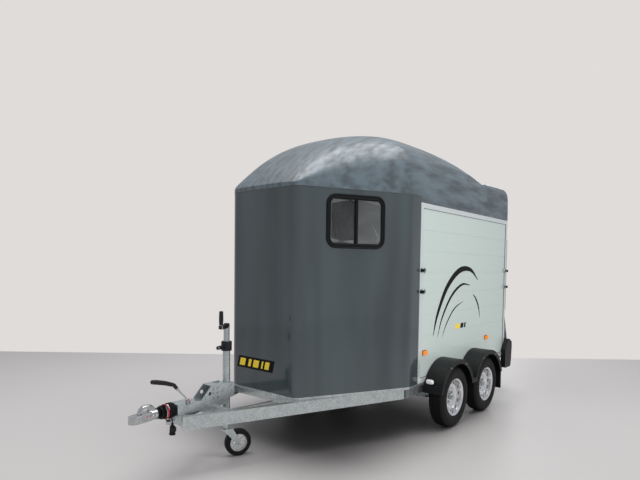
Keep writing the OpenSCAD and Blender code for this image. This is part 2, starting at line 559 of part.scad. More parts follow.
// A tube swept along a route, with a ring of 10 points square to the path at each of its points
ring_n = 10;
function cross3(a, b) = [a[1] * b[2] - a[2] * b[1], a[2] * b[0] - a[0] * b[2], a[0] * b[1] - a[1] * b[0]];
function heading(route, i) = unit(route[min(i + 1, len(route) - 1)] - route[max(i - 1, 0)]);
module swept(route, d) loft([for (i = [0 : len(route) - 1])
    let (t = heading(route, i), u = unit(cross3([0, 1, 0], t)), v = cross3(t, u))
    [for (k = [0 : ring_n - 1]) route[i] + d / 2 * (u * cos(360 * k / ring_n) + v * sin(360 * k / ring_n))]]);
module cable_lead() color(black) swept(lead_route, cord_d);
module cable_coil() color(black) translate([coil_x, 0, tow_z]) rotate([0, 90, 0]) rotate_extrude()
    translate([bellows_r + fit, 0]) square([cord_d, coil_turns * coil_pitch + cord_d]);
module cable_tail() color(black) swept(tail_route, cord_d);
module plug() color(black) translate(tail_route[len(tail_route) - 1]) mirror([0, 0, 1]) difference() {
    union() {
        cylinder(r = 9, h = 22);
        translate([0, 0, 18]) cylinder(r1 = 17, r2 = 22, h = plug_h - 18);
        block([-16, 12, 24], [16, 26, 58]);
    }
    translate([0, 0, plug_h - 14]) cylinder(r = 17, h = 20);
}
wire_d = 5;
wire_turns = 4;
module breakaway_cable() color("darkred") translate([coil_x + coil_turns * coil_pitch + cord_d + fit, 0, tow_z]) rotate([0, 90, 0])
    for (k = [0 : wire_turns - 1]) rotate_extrude()
        translate([bellows_r + wire_d / 2 + fit, wire_d / 2 + (wire_d + fit) * k]) circle(r = wire_d / 2, $fn = 16);

// Ramp: hinged along the bottom of the rear opening, swinging down to the rear
hinge_z = floor_z + 16;
hinge_x = -tail_x - 34;
ramp_x1 = -tail_x - ramp_gap;
ramp_x0 = ramp_x1 - ramp_t;
ramp_y = ramp_w / 2;
ramp_z0 = hinge_z + 24;
ramp_edge = 40;
module ramp_panel() color("#8c9396") block([ramp_x0 + 4, -ramp_y + ramp_edge + fit, ramp_z0 + ramp_edge + fit],
    [ramp_x1 - 4, ramp_y - ramp_edge - fit, ramp_top_z - ramp_edge - fit]);
module ramp_frame() color(galvanised) {
    difference() {
        block([ramp_x0, -ramp_y, ramp_z0], [ramp_x1, ramp_y, ramp_top_z]);
        block([ramp_x0 - eps, -ramp_y + ramp_edge, ramp_z0 + ramp_edge], [ramp_x1 + eps, ramp_y - ramp_edge, ramp_top_z - ramp_edge]);
    }
    // hinge knuckles between the portal's lugs, with a pin through both
    both_sides() {
        upright(hinge_x, 337, hinge_z) union() {
            cylinder(r = 16, h = 86);
            translate([-12, -26, 0]) cube([24, 26, 86]);
        }
        upright(hinge_x, 296, hinge_z) cylinder(r = 7.7, h = 168);
    }
}
module ramp_battens() color(black) for (z = [ramp_z0 + 150 : 160 : ramp_top_z - 120])
    block([ramp_x1 - 4 + fit, -ramp_y + 60, z], [ramp_x1 + 3, ramp_y - 60, z + 25]);

// Door hinges: lugs on the shell, knuckles and pins on the door
door_hinge = [door_at + door_w / 2 + door_gap / 2, 11];
door_hinge_z = [door_z0 + 280, door_z1 - 220];
module door_axis(z) on_slant(door_hinge[0], z, -1) translate([0, door_hinge[1], 0]) children();
module door_hinges() color(galvanised) for (z = door_hinge_z) for (dz = [-36, 36]) door_axis(z + dz) difference() {
    union() {
        translate([0, 0, -15]) cylinder(r = 9, h = 30);
        block([-42, fit - door_hinge[1], -15], [-4, 6 - door_hinge[1], 15]);
        block([-8, -6, -15], [-2, 6, 15]);
    }
    translate([0, 0, -16]) cylinder(r = 6, h = 32);
}
module door_knuckles() color(galvanised) for (z = door_hinge_z) door_axis(z) {
    translate([0, 0, -20]) cylinder(r = 9, h = 40);
    translate([0, 0, -50]) cylinder(r = 5.7, h = 100);
    block([4, fit - door_hinge[1], -20], [60, 6 - door_hinge[1], 20]);
    block([2, -6, -20], [8, 6, 20]);
}

// Door handle: a dished plate with a paddle, on the door's front edge
handle_z = 1180;
module door_handle() color(black) on_slant(door_at - door_w / 2 + 75, handle_z, -1) {
    difference() {
        rounded_slab(90, 130, 14, fit, 14);
        translate([0, 0, 12]) rounded_slab(66, 74, 10, 5, 20);
    }
    block([-26, 5, -22], [26, 11, 40]);
    upright(0, 12, -45) cylinder(r = 12, h = 7);
}

// Upper hatch: a moulded leaf that closes the opening above the ramp and swings up to the rear
hatch_x1 = -tail_x - ramp_gap;
hatch_t = 26;
hatch_y = half_w - 8;
hatch_z0 = ramp_top_z + 12;
hatch_hinge = [-tail_x - 14, saddle_z - 20];
hatch_hinge_y = 420;
module hatch_panel() color(anthracite) {
    across_x(hatch_x1 - hatch_t, hatch_x1) polygon(concat([[-hatch_y, hatch_z0], [hatch_y, hatch_z0]],
        [for (k = [0 : 20]) let (t = 180 * k / 20, c = cos(t), q = square_n(-tail_x))
            [sign(c) * hatch_y * pow(abs(c), 2 / q), eaves_z - 10 + (saddle_z - 30 - eaves_z) * pow(sin(t), 2 / q)]]));
    both_sides() {
        translate([0, hatch_hinge_y - 30, 0]) across(0, 60) polygon([[hatch_x1 - 22, saddle_z - 60], [hatch_x1 - 2, saddle_z - 60],
            [hatch_hinge[0] + 6, hatch_hinge[1]], [hatch_hinge[0] - 8, hatch_hinge[1]]]);
        upright(hatch_hinge[0], hatch_hinge_y - 30, hatch_hinge[1]) cylinder(r = 10, h = 60);
        upright(hatch_hinge[0], hatch_hinge_y - 62, hatch_hinge[1]) cylinder(r = 5.7, h = 124);
    }
}
module hatch_hinges() color(galvanised) both_sides() for (y = [-66, 36])
    upright(hatch_hinge[0], hatch_hinge_y + y, hatch_hinge[1]) difference() {
        union() {
            cylinder(r = 10, h = 30);
            translate([0, -8, 0]) cube([-tail_x - fit - hatch_hinge[0], 16, 30]);
        }
        translate([0, 0, -eps]) cylinder(r = 6, h = 40);
    }

// Latches: a bar and lever on each rear post that hold the ramp shut
latch_z = [ramp_top_z - 120];
module ramp_latches() color(galvanised) both_sides() for (z = latch_z) {
    block([-tail_x - 30, ramp_y + 8, z - 30], [-tail_x - fit, ramp_y + 44, z + 30]);
    block([-tail_x - 42, ramp_y + 14, z - 90], [-tail_x - 30, ramp_y + 38, z + 22]);
}

// Groom's door: a leaf in the right slanted face with its own window
module door_panel() color(anthracite) on_slant(door_at, door_mid, -1) difference() {
    rounded_slab(door_w, door_h, door_r, -shell_t, 0);
    translate([0, 0, door_window_z - door_mid]) rounded_slab(window_w, door_window_h, window_r, -60, 60);
}
module door_window() color(black) on_slant(door_at, door_window_z, -1) {
    window_ring(window_w, door_window_h, window_r);
    rounded_slab(window_w - 29, door_window_h - 29, window_r - 15, -7, -2);
}

place() chassis_frame();
place() drawbar();
place() floor_rail();
place() floor_board();
place() front_shell();
place() roof_shell();
place() side_wall_left();
place() side_wall_right();
place() side_frame_left();
place() side_frame_right();
place() rear_portal();
place() rear_brackets();
place() mudguard_left();
place() mudguard_right();
place() mudflaps();
place() window_frame();
place() window_glass();
place() axle_front();
place() axle_rear();
place() overrun_housing();
place() drawshaft();
place() coupling_head();
place() partition();
place() breast_bars();
place() side_markers();
place() front_lamps();
place() lamp_boxes();
place() lamp_lenses();
place() tie_rings();
place() jockey_clamp();
place() jockey_tube();
place() breakaway_cable();
place() cable_lead();
place() cable_coil();
place() cable_tail();
place() plug();
place() brake_lever();
place() jockey_leg();
place() jockey_tyre();
place() jockey_rim();
place() ramp_panel();
place() ramp_frame();
place() ramp_battens();
place() door_panel();
place() door_window();
place() door_hinges();
place() door_knuckles();
place() hatch_panel();
place() hatch_hinges();
place() ramp_latches();
place() door_handle();
place() tyre_front_left();
place() tyre_front_right();
place() tyre_rear_left();
place() tyre_rear_right();
place() rim_front_left();
place() rim_front_right();
place() rim_rear_left();
place() rim_rear_right();
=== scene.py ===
"""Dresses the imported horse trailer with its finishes, small fittings, tyres, cables and studio."""

import json
import logging
import math
from dataclasses import dataclass, field
from enum import Enum

import bmesh
import bpy
import numpy as np
from mathutils import Matrix, Vector


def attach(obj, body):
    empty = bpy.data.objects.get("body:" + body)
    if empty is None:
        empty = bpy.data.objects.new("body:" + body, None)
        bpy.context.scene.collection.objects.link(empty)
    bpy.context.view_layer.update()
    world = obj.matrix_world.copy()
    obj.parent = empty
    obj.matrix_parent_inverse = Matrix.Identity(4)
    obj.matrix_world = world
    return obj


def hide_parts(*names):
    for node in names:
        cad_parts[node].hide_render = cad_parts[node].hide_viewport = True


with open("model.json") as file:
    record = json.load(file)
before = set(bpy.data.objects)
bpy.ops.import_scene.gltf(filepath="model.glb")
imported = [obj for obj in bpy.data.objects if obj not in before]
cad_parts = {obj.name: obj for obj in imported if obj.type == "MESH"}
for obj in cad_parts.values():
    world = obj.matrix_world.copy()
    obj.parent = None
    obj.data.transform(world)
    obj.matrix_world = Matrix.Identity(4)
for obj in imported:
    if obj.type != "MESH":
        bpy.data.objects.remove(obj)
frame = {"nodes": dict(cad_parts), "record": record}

log = logging.getLogger("trailer")
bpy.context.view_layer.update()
MM = 0.001
ROAD_X = -0.881  # the axles' middle in the row frame
FULL_TURN = 2 * math.pi
AHEAD = np.array([1.0, 0.0, 0.0])
LEFT = np.array([0.0, 1.0, 0.0])
UP = np.array([0.0, 0.0, 1.0])
AXLE_X = (390.0, -390.0)  # of the front and the rear axle
HUB_Y, HUB_Z = 987.5, 297.0  # the middle of a road wheel


class Side(Enum):
    """The two sides of the trailer."""

    LEFT = 1
    RIGHT = -1


class Grain(Enum):
    """How a finish's small surface pattern is made."""

    NONE = "none"
    NOISE = "noise"
    SPANGLE = "spangle"
    BRUSHED = "brushed"
    WOOD = "wood"
    STREAKS = "streaks"


def road(x: float, y: float, z: float) -> np.ndarray:
    """Turns a place in millimetres from the axles' middle into metres in the row frame.

    Args:
        x: distance ahead of the axles' middle.
        y: distance to the left.
        z: height above the ground.

    Returns:
        The point as an array.
    """
    return np.array([x * MM + ROAD_X, y * MM, z * MM])


@dataclass(frozen=True)
class Finish:
    """A procedural finish: one colour with mottling, a grain, a gloss and an optional clear coat."""

    name: str
    slot: str
    colour: tuple[float, float, float]
    roughness: float = 0.5
    metallic: float = 0.0
    coat: float = 0.0
    specular: float = 0.5
    second: tuple[float, float, float] | None = None
    mottle: float = 0.15
    mottle_scale: float = 6.0
    grain: Grain = Grain.NOISE
    grain_scale: float = 300.0
    stretch: tuple[float, float, float] = (0.22, 1.6, 1.0)
    detail: float = 7.0
    depth: float = 0.05
    roughness_swing: float = 0.06
    alpha: float = 1.0
    transmission: float = 0.0
    # A glow lights a part from within; on a part that is no lamp it is painted light.
    glow: float = 0.0
    made: dict = field(default_factory=dict, compare=False, repr=False)

    def material(self) -> bpy.types.Material:
        """Makes the finish's material once and hands it out.

        Returns:
            The node material.
        """
        if "material" not in self.made:
            self.made["material"] = self.build()
        return self.made["material"]

    def build(self) -> bpy.types.Material:
        """Wires the node tree: Object coordinates feed the mottling, the grain and the bump.

        Returns:
            The new material.
        """
        mat = bpy.data.materials.new(self.name)
        mat.use_nodes = True
        tree = mat.node_tree
        shader = tree.nodes["Principled BSDF"]
        shader.inputs["Metallic"].default_value = self.metallic
        shader.inputs["Coat Weight"].default_value = self.coat
        shader.inputs["Specular IOR Level"].default_value = self.specular
        shader.inputs["Coat Roughness"].default_value = 0.04
        shader.inputs["Alpha"].default_value = self.alpha
        shader.inputs["Transmission Weight"].default_value = self.transmission
        if self.glow:
            shader.inputs["Emission Color"].default_value = (*self.colour, 1)
            shader.inputs["Emission Strength"].default_value = self.glow
        coords = tree.nodes.new("ShaderNodeTexCoord").outputs["Object"]
        broad = self.noise(tree, coords, self.mottle_scale, 3.0)
        second = self.second or tuple(c * (1 - self.mottle) for c in self.colour)
        mix = tree.nodes.new("ShaderNodeMix")
        mix.data_type = "RGBA"
        mix.inputs["A"].default_value = (*self.colour, 1)
        mix.inputs["B"].default_value = (*second, 1)
        pattern, height = self.pattern(tree, coords, broad)
        tree.links.new(pattern, mix.inputs["Factor"])
        tree.links.new(mix.outputs["Result"], shader.inputs["Base Color"])
        swing = tree.nodes.new("ShaderNodeMapRange")
        swing.inputs["To Min"].default_value = max(0.02, self.roughness - self.roughness_swing)
        swing.inputs["To Max"].default_value = min(1.0, self.roughness + self.roughness_swing)
        tree.links.new(pattern, swing.inputs["Value"])
        tree.links.new(swing.outputs["Result"], shader.inputs["Roughness"])
        if self.depth:
            bump = tree.nodes.new("ShaderNodeBump")
            bump.inputs["Strength"].default_value = self.depth
            bump.inputs["Distance"].default_value = 0.002
            tree.links.new(height, bump.inputs["Height"])
            tree.links.new(bump.outputs["Normal"], shader.inputs["Normal"])
        return mat

    @staticmethod
    def noise(tree: bpy.types.NodeTree, coords: bpy.types.NodeSocket, scale: float,
              detail: float, stretch: tuple[float, float, float] = (1, 1, 1)) -> bpy.types.NodeSocket:
        """Adds a noise texture, stretched if asked.

        Args:
            tree: the material's node tree.
            coords: the coordinates to read.
            scale: the noise's scale.
            detail: its octaves.
            stretch: scale of each axis.

        Returns:
            The noise's factor output.
        """
        if stretch != (1, 1, 1):
            mapping = tree.nodes.new("ShaderNodeMapping")
            mapping.inputs["Scale"].default_value = stretch
            tree.links.new(coords, mapping.inputs["Vector"])
            coords = mapping.outputs["Vector"]
        node = tree.nodes.new("ShaderNodeTexNoise")
        node.inputs["Scale"].default_value = scale
        node.inputs["Detail"].default_value = detail
        tree.links.new(coords, node.inputs["Vector"])
        return node.outputs["Fac"]

    def pattern(self, tree: bpy.types.NodeTree, coords: bpy.types.NodeSocket,
                broad: bpy.types.NodeSocket) -> tuple[bpy.types.NodeSocket, bpy.types.NodeSocket]:
        """Chooses what drives the colour and what drives the bump.

        Args:
            tree: the material's node tree.
            coords: Object coordinates.
            broad: the broad mottling.

        Returns:
            The colour factor and the height.
        """
        if self.grain is Grain.SPANGLE:
            cells = tree.nodes.new("ShaderNodeTexVoronoi")
            cells.inputs["Scale"].default_value = self.grain_scale
            tree.links.new(coords, cells.inputs["Vector"])
            grey = tree.nodes.new("ShaderNodeRGBToBW")
            tree.links.new(cells.outputs["Color"], grey.inputs["Color"])
            blend = tree.nodes.new("ShaderNodeMath")
            blend.operation = "MULTIPLY_ADD"
            blend.inputs[1].default_value = 0.55
            tree.links.new(grey.outputs["Val"], blend.inputs[0])
            part = tree.nodes.new("ShaderNodeMath")
            part.operation = "MULTIPLY"
            part.inputs[1].default_value = 0.5
            tree.links.new(broad, part.inputs[0])
            tree.links.new(part.outputs[0], blend.inputs[2])
            return blend.outputs[0], cells.outputs["Distance"]
        if self.grain is Grain.BRUSHED:
            fine = self.noise(tree, coords, self.grain_scale, 2.0, (0.02, 1, 1))
            return fine, fine
        if self.grain is Grain.WOOD:
            fine = self.noise(tree, coords, self.grain_scale, 6.0, (0.05, 1, 1))
            return fine, fine
        if self.grain is Grain.STREAKS:
            wide = tree.nodes.new("ShaderNodeMapRange")
            wide.inputs["From Min"].default_value = 0.36
            wide.inputs["From Max"].default_value = 0.64
            streaks = self.noise(tree, coords, self.grain_scale, self.detail, self.stretch)
            tree.links.new(streaks, wide.inputs["Value"])
            return wide.outputs["Result"], streaks
        return broad, self.noise(tree, coords, self.grain_scale, 2.0)


MOULDING = Finish("slate_gelcoat", "moulding", (0.047, 0.063, 0.067), roughness=0.15, coat=0.5, specular=0.42,
                  second=(0.032, 0.041, 0.044), grain=Grain.STREAKS, grain_scale=1.7, stretch=(2.0, 2.0, 0.3),
                  detail=2.0, depth=0.04, roughness_swing=0.05)
# Painted reflection: the roof's gelcoat is the moulding made lighter and bluer, streaked between that tone
# and the moulding's own, to paint the sky's reflection on the roof.
ROOF_PAINTED_SKY_SHEEN = Finish("gelcoat_painted_sky_streaks", "moulding", (0.090, 0.122, 0.143), roughness=0.50, coat=0.22, specular=0.75,
              second=(0.048, 0.063, 0.072), grain=Grain.STREAKS, grain_scale=13.0, depth=0.12,
              roughness_swing=0.14)
PLANKS = Finish("anodised_planks", "planks", (0.58, 0.66, 0.62), roughness=0.36, metallic=0.25,
                second=(0.54, 0.62, 0.585), grain=Grain.BRUSHED, grain_scale=90.0, depth=0.02)
PROFILES = Finish("edge_profiles", "profiles", (0.72, 0.76, 0.75), roughness=0.30, metallic=0.5,
                  second=(0.64, 0.69, 0.68), grain=Grain.BRUSHED, grain_scale=120.0, depth=0.02)
ZINC = Finish("spangled_zinc", "galvanised", (0.63, 0.68, 0.68), roughness=0.29, metallic=0.82,
              second=(0.38, 0.42, 0.43), grain=Grain.SPANGLE, grain_scale=70.0, depth=0.05, mottle_scale=14.0,
              roughness_swing=0.14)
BRIGHT_ZINC = Finish("bright_zinc", "zinc_plated", (0.72, 0.74, 0.74), roughness=0.16, metallic=1.0,
                     second=(0.34, 0.36, 0.37), mottle_scale=22.0, depth=0.02)
# Near black: the drum's dark iron, and painted shade where the drum shows through the wheel's vents.
DRUM_IRON_AND_VENT_SHADE = Finish("cast_iron_and_vent_shade", "black_plastic", (0.020, 0.020, 0.021), roughness=0.6, specular=0.3,
                   mottle_scale=40.0, grain_scale=500.0, depth=0.15)
BLACK_PLASTIC = Finish("grained_black_plastic", "black_plastic", (0.0050, 0.0056, 0.0062), roughness=0.42,
                       specular=0.24, grain_scale=420.0, depth=0.08)
BLACK_GLOSS = Finish("gloss_black", "black_gloss", (0.004, 0.0045, 0.005), roughness=0.30, specular=0.20,
                     grain_scale=60.0, depth=0.01)
RUBBER = Finish("black_rubber", "rubber", (0.006, 0.006, 0.0065), roughness=0.60, specular=0.22,
                grain_scale=260.0, depth=0.08)
TYRE = Finish("tyre_rubber", "tread", (0.0055, 0.0055, 0.006), roughness=0.62, specular=0.20,
              second=(0.010, 0.0098, 0.0095), mottle_scale=9.0, grain_scale=350.0, depth=0.08)
WHEEL_SILVER = Finish("wheel_silver", "wheel_silver", (0.88, 0.89, 0.90), roughness=0.22, metallic=0.92,
                      mottle=0.22, mottle_scale=18.0, grain_scale=900.0, depth=0.02)
AMBER = Finish("amber_lens", "amber", (0.90, 0.30, 0.02), roughness=0.18, coat=0.5, second=(0.75, 0.20, 0.01),
               mottle_scale=60.0, grain_scale=220.0, depth=0.08, glow=0.15)
CLEAR = Finish("clear_lens", "clear_lens", (0.82, 0.83, 0.82), roughness=0.12, coat=0.5, grain_scale=240.0,
               depth=0.08, mottle_scale=50.0)
# The red glow is painted light: it also lifts the reflectors, the lever button and the wear marks, which are
# no lamps.
RED = Finish("red_lens", "red_lens", (0.55, 0.012, 0.012), roughness=0.16, coat=0.5,
             second=(0.38, 0.008, 0.008), mottle_scale=60.0, grain_scale=220.0, depth=0.08, glow=0.08)
RED_CABLE = Finish("red_cable", "red_cable", (0.34, 0.010, 0.022), roughness=0.35, coat=0.2,
                   grain_scale=300.0)
GLASS = Finish("tinted_glass", "tinted_glass", (0.34, 0.355, 0.35), roughness=0.04, metallic=0.5, coat=0.4,
               alpha=0.88, second=(0.10, 0.11, 0.112), mottle_scale=3.0, grain_scale=4.0, depth=0.0,
               roughness_swing=0.01)
# Painted shade: a near-black copy of the window glass with faint streaks.
PANE_PAINTED_SHADE = Finish("pane_painted_shade", "tinted_glass", (0.020, 0.022, 0.022), roughness=0.05, coat=0.3,
                   specular=0.45, second=(0.040, 0.043, 0.042), grain=Grain.STREAKS, grain_scale=6.0,
                   stretch=(1.0, 1.0, 0.5), detail=3.0, depth=0.0, roughness_swing=0.01)
# Painted reflection: a pale grey copy of the window glass with streaks, standing in for a bright reflection.
PANE_PAINTED_REFLECTION = Finish("pane_painted_reflection", "tinted_glass", (0.52, 0.54, 0.53), roughness=0.05, coat=0.3, metallic=0.2,
                    second=(0.26, 0.27, 0.268), grain=Grain.STREAKS, grain_scale=5.0, stretch=(0.6, 0.6, 1.6),
                    detail=3.0, depth=0.0, roughness_swing=0.01)
BOARD = Finish("sealed_board", "board", (0.16, 0.105, 0.07), roughness=0.55, second=(0.10, 0.065, 0.045),
               grain=Grain.WOOD, grain_scale=60.0, depth=0.06)
PADDING = Finish("black_vinyl", "padding", (0.014, 0.014, 0.016), roughness=0.45, specular=0.4,
                 grain_scale=520.0, depth=0.15)
YELLOW = Finish("yellow_film", "amber", (0.85, 0.62, 0.02), roughness=0.3, mottle=0.04, depth=0.01)
INK = Finish("black_film", "black_gloss", (0.004, 0.004, 0.0045), roughness=0.5, specular=0.12, depth=0.01,
             grain_scale=40.0)
SEALER = Finish("grey_sealer", "rubber", (0.07, 0.085, 0.09), roughness=0.5, grain_scale=200.0)
GRIP = Finish("grip_plastic", "black_plastic", (0.010, 0.010, 0.011), roughness=0.48, specular=0.35,
              grain_scale=500.0, depth=0.12)

NODE_FINISH = {"moulding": MOULDING, "planks": PLANKS, "profiles": PROFILES, "galvanised": ZINC,
               "zinc_plated": BRIGHT_ZINC, "black_plastic": BLACK_PLASTIC, "black_gloss": BLACK_GLOSS,
               "rubber": RUBBER, "tread": TYRE, "wheel_silver": WHEEL_SILVER, "amber": AMBER,
               "clear_lens": CLEAR, "red_lens": RED, "red_cable": RED_CABLE, "tinted_glass": GLASS,
               "board": BOARD, "padding": PADDING,}


class Shape:
    """Gathers closed surfaces, each worked out as a whole array of points, into one mesh."""

    def __init__(self) -> None:
        """Starts with no points and no faces."""
        self.points: list[np.ndarray] = []
        self.faces: list[list[int]] = []
        self.count = 0

    def loft(self, rings: np.ndarray, capped: bool = True, looped: bool = False) -> "Shape":
        """Adds a surface on a grid: ring i, point j. Each ring closes on itself.

        The faces join (i, j), (i, j+1), (i+1, j+1), (i+1, j). The signed volume, the sum of each
        triangle's a . (b x c) / 6, tells whether the faces point inwards, and then they are turned.

        Args:
            rings: array of shape (rings, points, 3).
            capped: closes both ends with flat faces.
            looped: joins the last ring to the first, as for a torus.

        Returns:
            This shape.
        """
        m, n = rings.shape[:2]
        i, j = np.meshgrid(np.arange(m if looped else m - 1), np.arange(n), indexing="ij")
        a, b = i * n + j, i * n + (j + 1) % n
        c, d = (i + 1) % m * n + (j + 1) % n, (i + 1) % m * n + j
        quads = np.stack([a, b, c, d], axis=-1).reshape(-1, 4)
        flat = rings.reshape(-1, 3)
        p = flat[quads] - flat.mean(0)
        volume = (np.einsum("ij,ij->", p[:, 0], np.cross(p[:, 1], p[:, 2]))
                  + np.einsum("ij,ij->", p[:, 0], np.cross(p[:, 2], p[:, 3])))
        faces = quads.tolist()
        if capped and not looped:
            faces += [list(range(n))[::-1], [(m - 1) * n + k for k in range(n)]]
            ends = rings[[0, -1]] - flat.mean(0)
            area = np.cross(ends, np.roll(ends, -1, axis=1)).sum(1) / 1.0
            volume += (-ends[0].mean(0) @ area[0] + ends[1].mean(0) @ area[1])
        if volume < 0:
            faces = [face[::-1] for face in faces]
        self.faces += [[k + self.count for k in face] for face in faces]
        self.points.append(flat)
        self.count += len(flat)
        return self

    def turn(self, profile: np.ndarray, centre: np.ndarray, axis: np.ndarray, steps: int = 32) -> "Shape":
        """Adds a closed profile of (radius, height) pairs turned about an axis, as turned() makes it."""
        return self.loft(turned(profile, centre, axis, steps), looped=True)

    def sweep(self, path: np.ndarray, radius: float | np.ndarray, sides: int = 10) -> "Shape":
        """Adds a round profile carried along a path, as swept() makes it."""
        return self.loft(swept(path, radius, sides))

    def bead(self, path: np.ndarray, radius: float, sides: int = 8) -> "Shape":
        """Adds a round bead along a closed flat loop, as bead() makes it."""
        return self.loft(bead(path, radius, sides), looped=True)

    def block(self, lo: np.ndarray, hi: np.ndarray, bevel: float = 0.0015) -> "Shape":
        """Adds a block with bevelled edges between two corners, as box_rings() makes it."""
        return self.loft(box_rings(lo, hi, bevel))

    def piece(self, name: str, finish: Finish, body: str, sharp: float = 35.0,
              outwards: bool = False) -> bpy.types.Object:
        """Puts the gathered surfaces into an object that rides on a body.

        Args:
            name: the piece's name.
            finish: its finish.
            body: the CAD body that carries it.
            sharp: edges over this angle, in degrees, stay sharp.
            outwards: turns all faces outwards, for a closed surface made of several grids.

        Returns:
            The object.
        """
        mesh = bpy.data.meshes.new(name)
        mesh.from_pydata(np.concatenate(self.points).tolist(), [], self.faces)
        if outwards:
            work = bmesh.new()
            work.from_mesh(mesh)
            bmesh.ops.recalc_face_normals(work, faces=work.faces)
            work.to_mesh(mesh)
            work.free()
        mesh.materials.append(finish.material())
        mesh.shade_smooth()
        mesh.set_sharp_from_angle(angle=math.radians(sharp))
        obj = bpy.data.objects.new(name, mesh)
        bpy.context.scene.collection.objects.link(obj)
        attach(obj, body)
        log.info("%s: %d points on %s", name, self.count, body)
        return obj


def turned(profile: np.ndarray, centre: np.ndarray, axis: np.ndarray, steps: int = 32) -> np.ndarray:
    """Turns a closed profile of (radius, height) pairs about an axis.

    Point (i, j) is centre + height_j * axis + radius_j * (u cos t_i + v sin t_i).

    Args:
        profile: array of (radius, height) in metres.
        centre: a point on the axis.
        axis: the axis's direction.
        steps: how many rings go round.

    Returns:
        Rings for Shape.loft with looped=True.
    """
    axis = axis / np.linalg.norm(axis)
    helper = UP if abs(axis[2]) < 0.9 else AHEAD
    u = np.cross(helper, axis)
    u /= np.linalg.norm(u)
    v = np.cross(axis, u)
    t = np.linspace(0, FULL_TURN, steps, endpoint=False)[:, None, None]
    r, h = profile[None, :, 0, None], profile[None, :, 1, None]
    return centre + h * axis + r * (np.cos(t) * u + np.sin(t) * v)


def swept(path: np.ndarray, radius: float | np.ndarray, sides: int = 10) -> np.ndarray:
    """Carries a round profile along a path, turning it as little as possible from point to point.

    Ring i is path_i + radius_i * (u_i cos t + v_i sin t), where u_i is u_(i-1) with its part along
    the new heading taken away.

    Args:
        path: points of shape (n, 3).
        radius: one radius or one for each point.
        sides: points round the profile.

    Returns:
        Rings for Shape.loft.
    """
    heading = np.gradient(path, axis=0)
    heading /= np.linalg.norm(heading, axis=1)[:, None]
    u = np.cross(heading[0], [0.31, 0.17, 0.93])
    frames = []
    for h in heading:
        u = u - (u @ h) * h
        u = u / np.linalg.norm(u)
        frames.append((u, np.cross(h, u)))
    uv = np.array(frames)
    t = np.linspace(0, FULL_TURN, sides, endpoint=False)[None, :, None]
    r = np.broadcast_to(np.asarray(radius, float), (len(path),))[:, None, None]
    return path[:, None] + r * (uv[:, 0, None] * np.cos(t) + uv[:, 1, None] * np.sin(t))


def rounded_outline(width: float, height: float, radius: float, steps: int = 6) -> np.ndarray:
    """The outline of a rectangle with round corners, about its middle.

    Args:
        width: full width.
        height: full height.
        radius: corner radius.
        steps: points in each corner.

    Returns:
        Array of (across, up) points.
    """
    t = np.linspace(0, math.pi / 2, steps)
    arc = np.stack([np.cos(t), np.sin(t)], axis=1) * radius
    parts = []
    for k, (sx, sy) in enumerate(((1, 1), (-1, 1), (-1, -1), (1, -1))):
        c, s = math.cos(k * math.pi / 2), math.sin(k * math.pi / 2)
        turn = np.array([[c, -s], [s, c]])
        parts.append(arc @ turn.T + [sx * (width / 2 - radius), sy * (height / 2 - radius)])
    return np.concatenate(parts)


def slab(outline: np.ndarray, centre: np.ndarray, across: np.ndarray, up: np.ndarray,
         thick: float, bevel: float = 0.0008) -> np.ndarray:
    """A plate from an outline: four rings, drawn in by the bevel at both faces.

    Args:
        outline: (across, up) points about the centre.
        centre: middle of the back face.
        across: direction of the outline's first axis.
        up: direction of its second axis.
        thick: thickness along across x up.
        bevel: size of the edge's bevel.

    Returns:
        Rings for Shape.loft.
    """
    out = np.cross(across, up)
    size = np.abs(outline).max(0)
    shrink = 1 - bevel / size
    levels = [(shrink, 0.0), (np.ones(2), bevel), (np.ones(2), thick - bevel), (shrink, thick)]
    return np.stack([centre + (outline * k)[:, :1] * across + (outline * k)[:, 1:] * up + z * out
                     for k, z in levels])


def bolts(shape: Shape, places: np.ndarray, axis: np.ndarray, radius: float, height: float,
          hexed: bool = False) -> Shape:
    """Adds a bolt or rivet head at each place: a dome, or a washer with a hexagon and a chamfer.

    Args:
        shape: gathers the heads.
        places: points of shape (n, 3) on the surface.
        axis: outward direction.
        radius: the head's radius.
        height: the head's height.
        hexed: makes hexagon heads.

    Returns:
        The shape.
    """
    if hexed:
        head = np.array([[0.001 * radius, 0], [1.35 * radius, 0], [1.35 * radius, 0.25 * height],
                         [radius, 0.26 * height], [radius, 0.85 * height], [0.86 * radius, height],
                         [0.001 * radius, height]])
        washer, nut = head[:3], head[2:]
        washer = np.vstack([washer, [[0.001 * radius, 0.25 * height]]])
        nut = np.vstack([[[0.001 * radius, 0.26 * height]], nut[1:]])
        for place in places:
            shape.turn(washer, place, axis, 20)
            shape.turn(nut, place, axis, 6)
        return shape
    t = np.linspace(0, math.pi / 2, 6)
    dome = np.stack([radius * np.cos(t) + 1e-5, height * np.sin(t)], axis=1)
    dome = np.vstack([[[1e-5, -0.2 * height], [radius, -0.2 * height]], dome])
    for place in places:
        shape.turn(dome, place, axis, 14)
    return shape


def line(a: np.ndarray, b: np.ndarray, count: int) -> np.ndarray:
    """Evenly spaced points from a to b."""
    return a + (b - a) * np.linspace(0, 1, count)[:, None]


def wheels() -> list[tuple[str, int, np.ndarray]]:
    """Each road wheel's tag, side and middle."""
    return [(f"{end}_{side.name.lower()}", side.value, road(x, side.value * HUB_Y, HUB_Z))
            for end, x in zip(("front", "rear"), AXLE_X) for side in Side]


@dataclass
class CadFinishes:
    """Gives each CAD node that shows the material of its slot."""

    def dress(self) -> None:
        """Swaps each node's plain material for the finish of its slot."""
        for part in frame["record"]["subparts"]:
            node = frame["nodes"][part["node"]]
            node.data.materials.clear()
            node.data.materials.append(NODE_FINISH[part["material_slot"]].material())
        log.info("dressed %d CAD nodes", len(frame["nodes"]))


